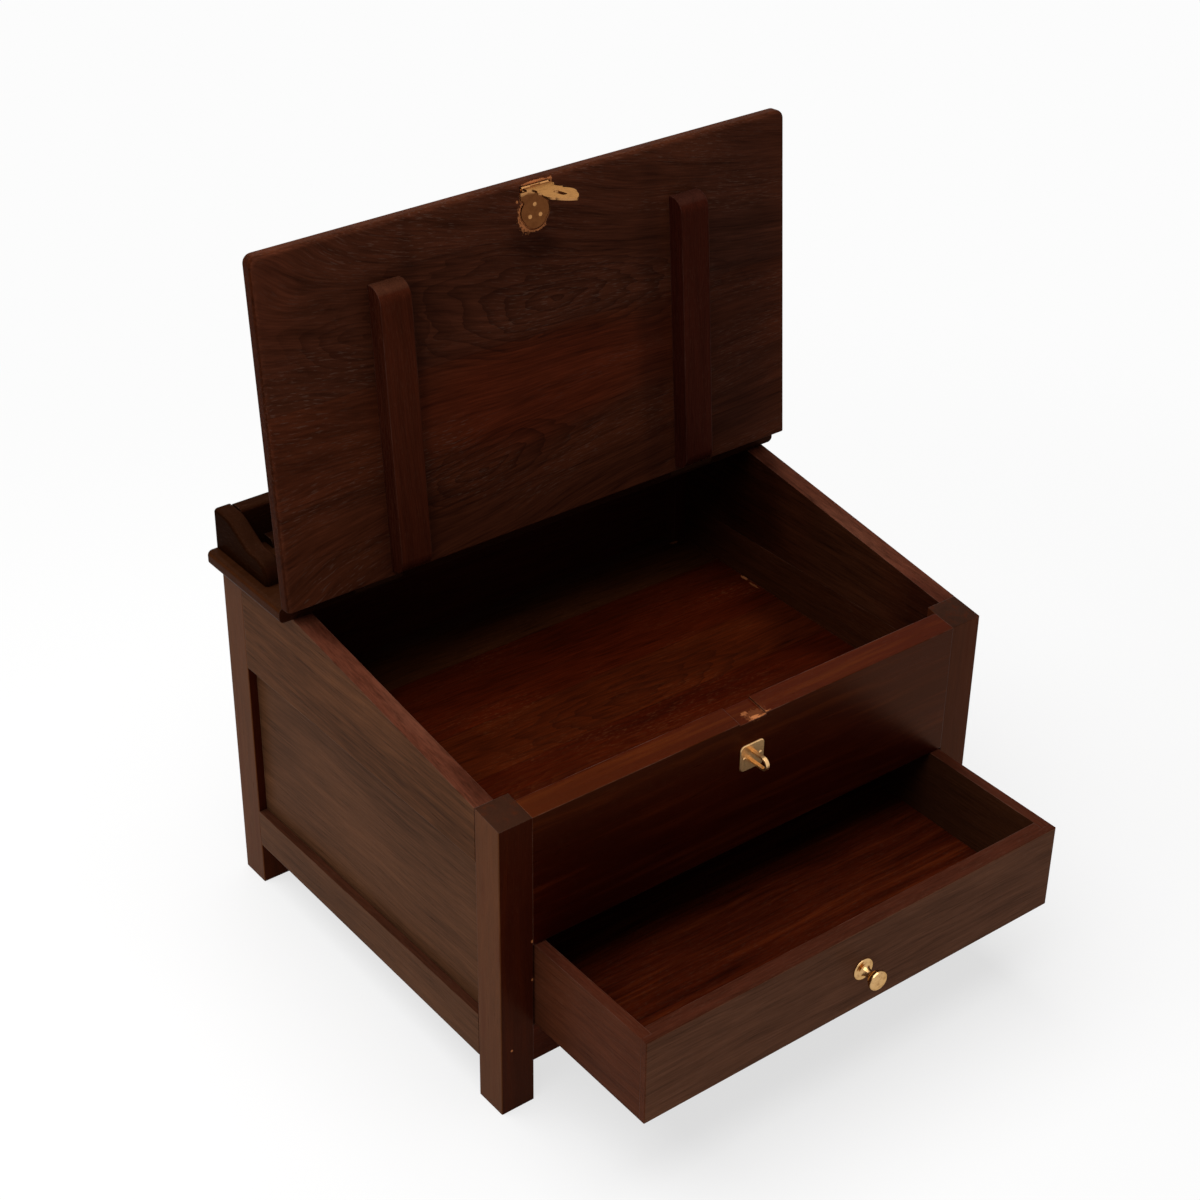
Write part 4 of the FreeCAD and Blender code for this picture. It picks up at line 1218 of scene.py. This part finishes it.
@dataclass
class Drawer:
    """Drawer: front, sides, back and bottom."""

    # The drawer's front is painted lighter, as a painted sheen of the bright floor in front of it.
    front_stain_and_face_light: StainAndFaceLight = StainAndFaceLight(front=(0.0854, 0.0350, 0.0188), flank=(0.061, 0.0172, 0.0078),
                            crown=(0.040, 0.0098, 0.0048), inner=(0.038, 0.0085, 0.0034))
    side_stain_and_face_light: StainAndFaceLight = StainAndFaceLight(flank=(0.061, 0.0170, 0.0074), crown=(0.045, 0.0108, 0.0052),
                           inner=(0.040, 0.0125, 0.0048))
    floor_stain_and_face_light: StainAndFaceLight = StainAndFaceLight(crown=(0.036, 0.0046, 0.0010))

    def build(self) -> None:
        """Dress the drawer."""
        front = Wood("drawer_front_stain", self.front_stain_and_face_light, OUTSIDE.figure)
        front.cover(["drawer_front"], Cut(Axis.X, seed=40.3, standing=True))
        side = replace(front, name="drawer_side_stain", stain_and_face_light=self.side_stain_and_face_light)
        side.cover(["drawer_side_left", "drawer_side_right"], Cut(Axis.Y, seed=42.0, standing=True))
        INSIDE.cover(["drawer_back"], Cut(Axis.X, seed=44.5))
        figure = Figure(fibre=1.6, band=1.4, cloud=1.1, fleck=0.14, streak=0.3, thread=1.5,
                        streak_colour=(0.075, 0.0140, 0.0030))
        floor = replace(INSIDE, name="drawer_floor_stain", stain_and_face_light=self.floor_stain_and_face_light, figure=figure)
        floor.cover(["drawer_bottom"], Cut(Axis.X, seed=45.7))


# ---- Studio ----

@dataclass
class Studio:
    """White floor, one wide soft box overhead and a dim surround. Sizes are in metres."""

    reach: float = 30.0
    segments: int = 96
    paper: Colour = (0.86, 0.86, 0.86)
    shown: float = 0.973
    keep: float = 0.28
    near: float = 0.45
    far: float = 1.2
    surround: float = 0.16
    sky: Colour = (1.0, 0.98, 0.95)
    box_size: float = 3.0
    box_power: float = 95.0
    box_place: Vector = field(default_factory=lambda: Vector((-0.5, 0.25, 2.3)))
    box_target: Vector = field(default_factory=lambda: Vector((0.0, 0.05, 0.2)))

    def build(self) -> None:
        """Make the floor, the lamp and the world."""
        self._floor()
        self._lamp()
        self._world()

    @staticmethod
    def _seen(graph: Graph) -> Term:
        """Tell the rays that see the background: direct, mirrored or sent through.

        Args:
            graph: The graph that asks.

        Returns:
            1 for such a ray and 0 for the rest.
        """
        rays = graph.node("ShaderNodeLightPath").socket.node.outputs
        seen = Term(graph, rays["Is Camera Ray"])
        for kind in ("Is Glossy Ray", "Is Transmission Ray"):
            seen = seen.most(Term(graph, rays[kind]))
        return seen

    def _floor(self) -> None:
        """Make the floor: almost evenly white, with the object's shadow."""
        graph = Graph.of_material("studio_floor")
        place = graph.node("ShaderNodeTexCoord", output="Object")
        away = graph.node("ShaderNodeVectorMath", {"operation": "LENGTH"}, {0: place}, "Value")
        shadowed = away.step(self.far, self.near) * self.keep
        paper = graph.node("ShaderNodeBsdfDiffuse", None, {"Color": self.paper})
        glow = graph.node("ShaderNodeEmission", None, {"Color": (self.shown,) * 3, "Strength": 1.0})
        material = graph.finish(graph.node("ShaderNodeMixShader", None, {
            0: self._seen(graph) * (1.0 - shadowed), 1: paper, 2: glow}))
        build = bmesh.new()
        bmesh.ops.create_circle(build, cap_ends=True, segments=self.segments, radius=self.reach)
        mesh = bpy.data.meshes.new("studio_floor")
        build.to_mesh(mesh)
        build.free()
        mesh.materials.append(material)
        floor = bpy.data.objects.new("studio_floor", mesh)
        bpy.context.scene.collection.objects.link(floor)
        floor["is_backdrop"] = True

    def _lamp(self) -> None:
        """Hang the soft box."""
        lamp = bpy.data.lights.new("soft_box", "AREA")
        lamp.shape = "SQUARE"
        lamp.size = self.box_size
        lamp.energy = self.box_power
        hung = bpy.data.objects.new("soft_box", lamp)
        hung.matrix_world = Matrix.Translation(self.box_place) @ aim(self.box_place - self.box_target)
        bpy.context.scene.collection.objects.link(hung)

    def _world(self) -> None:
        """Surround the scene with a dim sky that shows as white."""
        graph = Graph(bpy.data.worlds.new("surround"))
        dim = graph.node("ShaderNodeBackground", None, {"Color": self.sky, "Strength": self.surround})
        white = graph.node("ShaderNodeBackground", None,
                           {"Color": (self.shown,) * 3, "Strength": 1.0})
        bpy.context.scene.world = graph.finish(graph.node(
            "ShaderNodeMixShader", None, {0: self._seen(graph), 1: dim, 2: white}))


@dataclass
class Viewpoint:
    """The camera: where it stands and how it is turned."""

    place: Vector = field(default_factory=lambda: Vector((-0.945892, -1.139895, 1.233322)))
    azimuth: float = -37.9373
    elevation: float = 32.2547
    roll: float = 0.7816
    lens: float = 71.580
    sensor: float = 36.0
    nearest: float = 0.05
    farthest: float = 80.0

    def build(self) -> None:
        """Make the camera and look through it."""
        turn, rise, roll = map(math.radians, (self.azimuth, self.elevation, self.roll))
        back = Vector((math.sin(turn) * math.cos(rise), -math.cos(turn) * math.cos(rise),
                       math.sin(rise)))
        right = Vector((math.cos(turn), math.sin(turn), 0.0))
        up = back.cross(right)
        across = right * math.cos(roll) + up * math.sin(roll)
        upward = up * math.cos(roll) - right * math.sin(roll)
        frame = Matrix((across, upward, back)).transposed().to_4x4()
        camera = bpy.data.cameras.new("camera")
        camera.sensor_fit = "HORIZONTAL"
        camera.sensor_width = self.sensor
        camera.lens = self.lens
        camera.clip_start = self.nearest
        camera.clip_end = self.farthest
        stand = bpy.data.objects.new("camera", camera)
        stand.matrix_world = Matrix.Translation(self.place) @ frame
        bpy.context.scene.collection.objects.link(stand)
        bpy.context.scene.camera = stand


def plain(bounds: Any) -> Any:
    """Turn nested vectors into plain lists of numbers."""
    return [plain(item) for item in bounds] if hasattr(bounds, "__len__") else float(bounds)


def main() -> None:
    """Load the frame, then build and report each part of the scene."""
    logging.basicConfig(level=logging.INFO, format="%(message)s")
    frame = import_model()
    packed = plain(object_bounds())
    lid_place = LidPlace(joint_place(frame, "lid_hinge"))
    hasp_pin = joint_place(frame, "hasp_hinge")
    for label, part in (("carcase", Carcase()), ("shelf and gallery", Shelf()),
                        ("lid", Lid(lid_place, hasp_pin)), ("hinges", HingePair(lid_place)),
                        ("hasp", Hasp(lid_place, hasp_pin)), ("staple", Staple()),
                        ("drawer", Drawer()), ("knob", Knob()),
                        ("studio", Studio()), ("camera", Viewpoint())):
        log.info(label)
        part.build()
    bpy.context.scene.view_settings.view_transform = "Standard"
    {"packed": packed, "dressed": plain(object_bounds())}


if __name__ == "__main__":
    main()
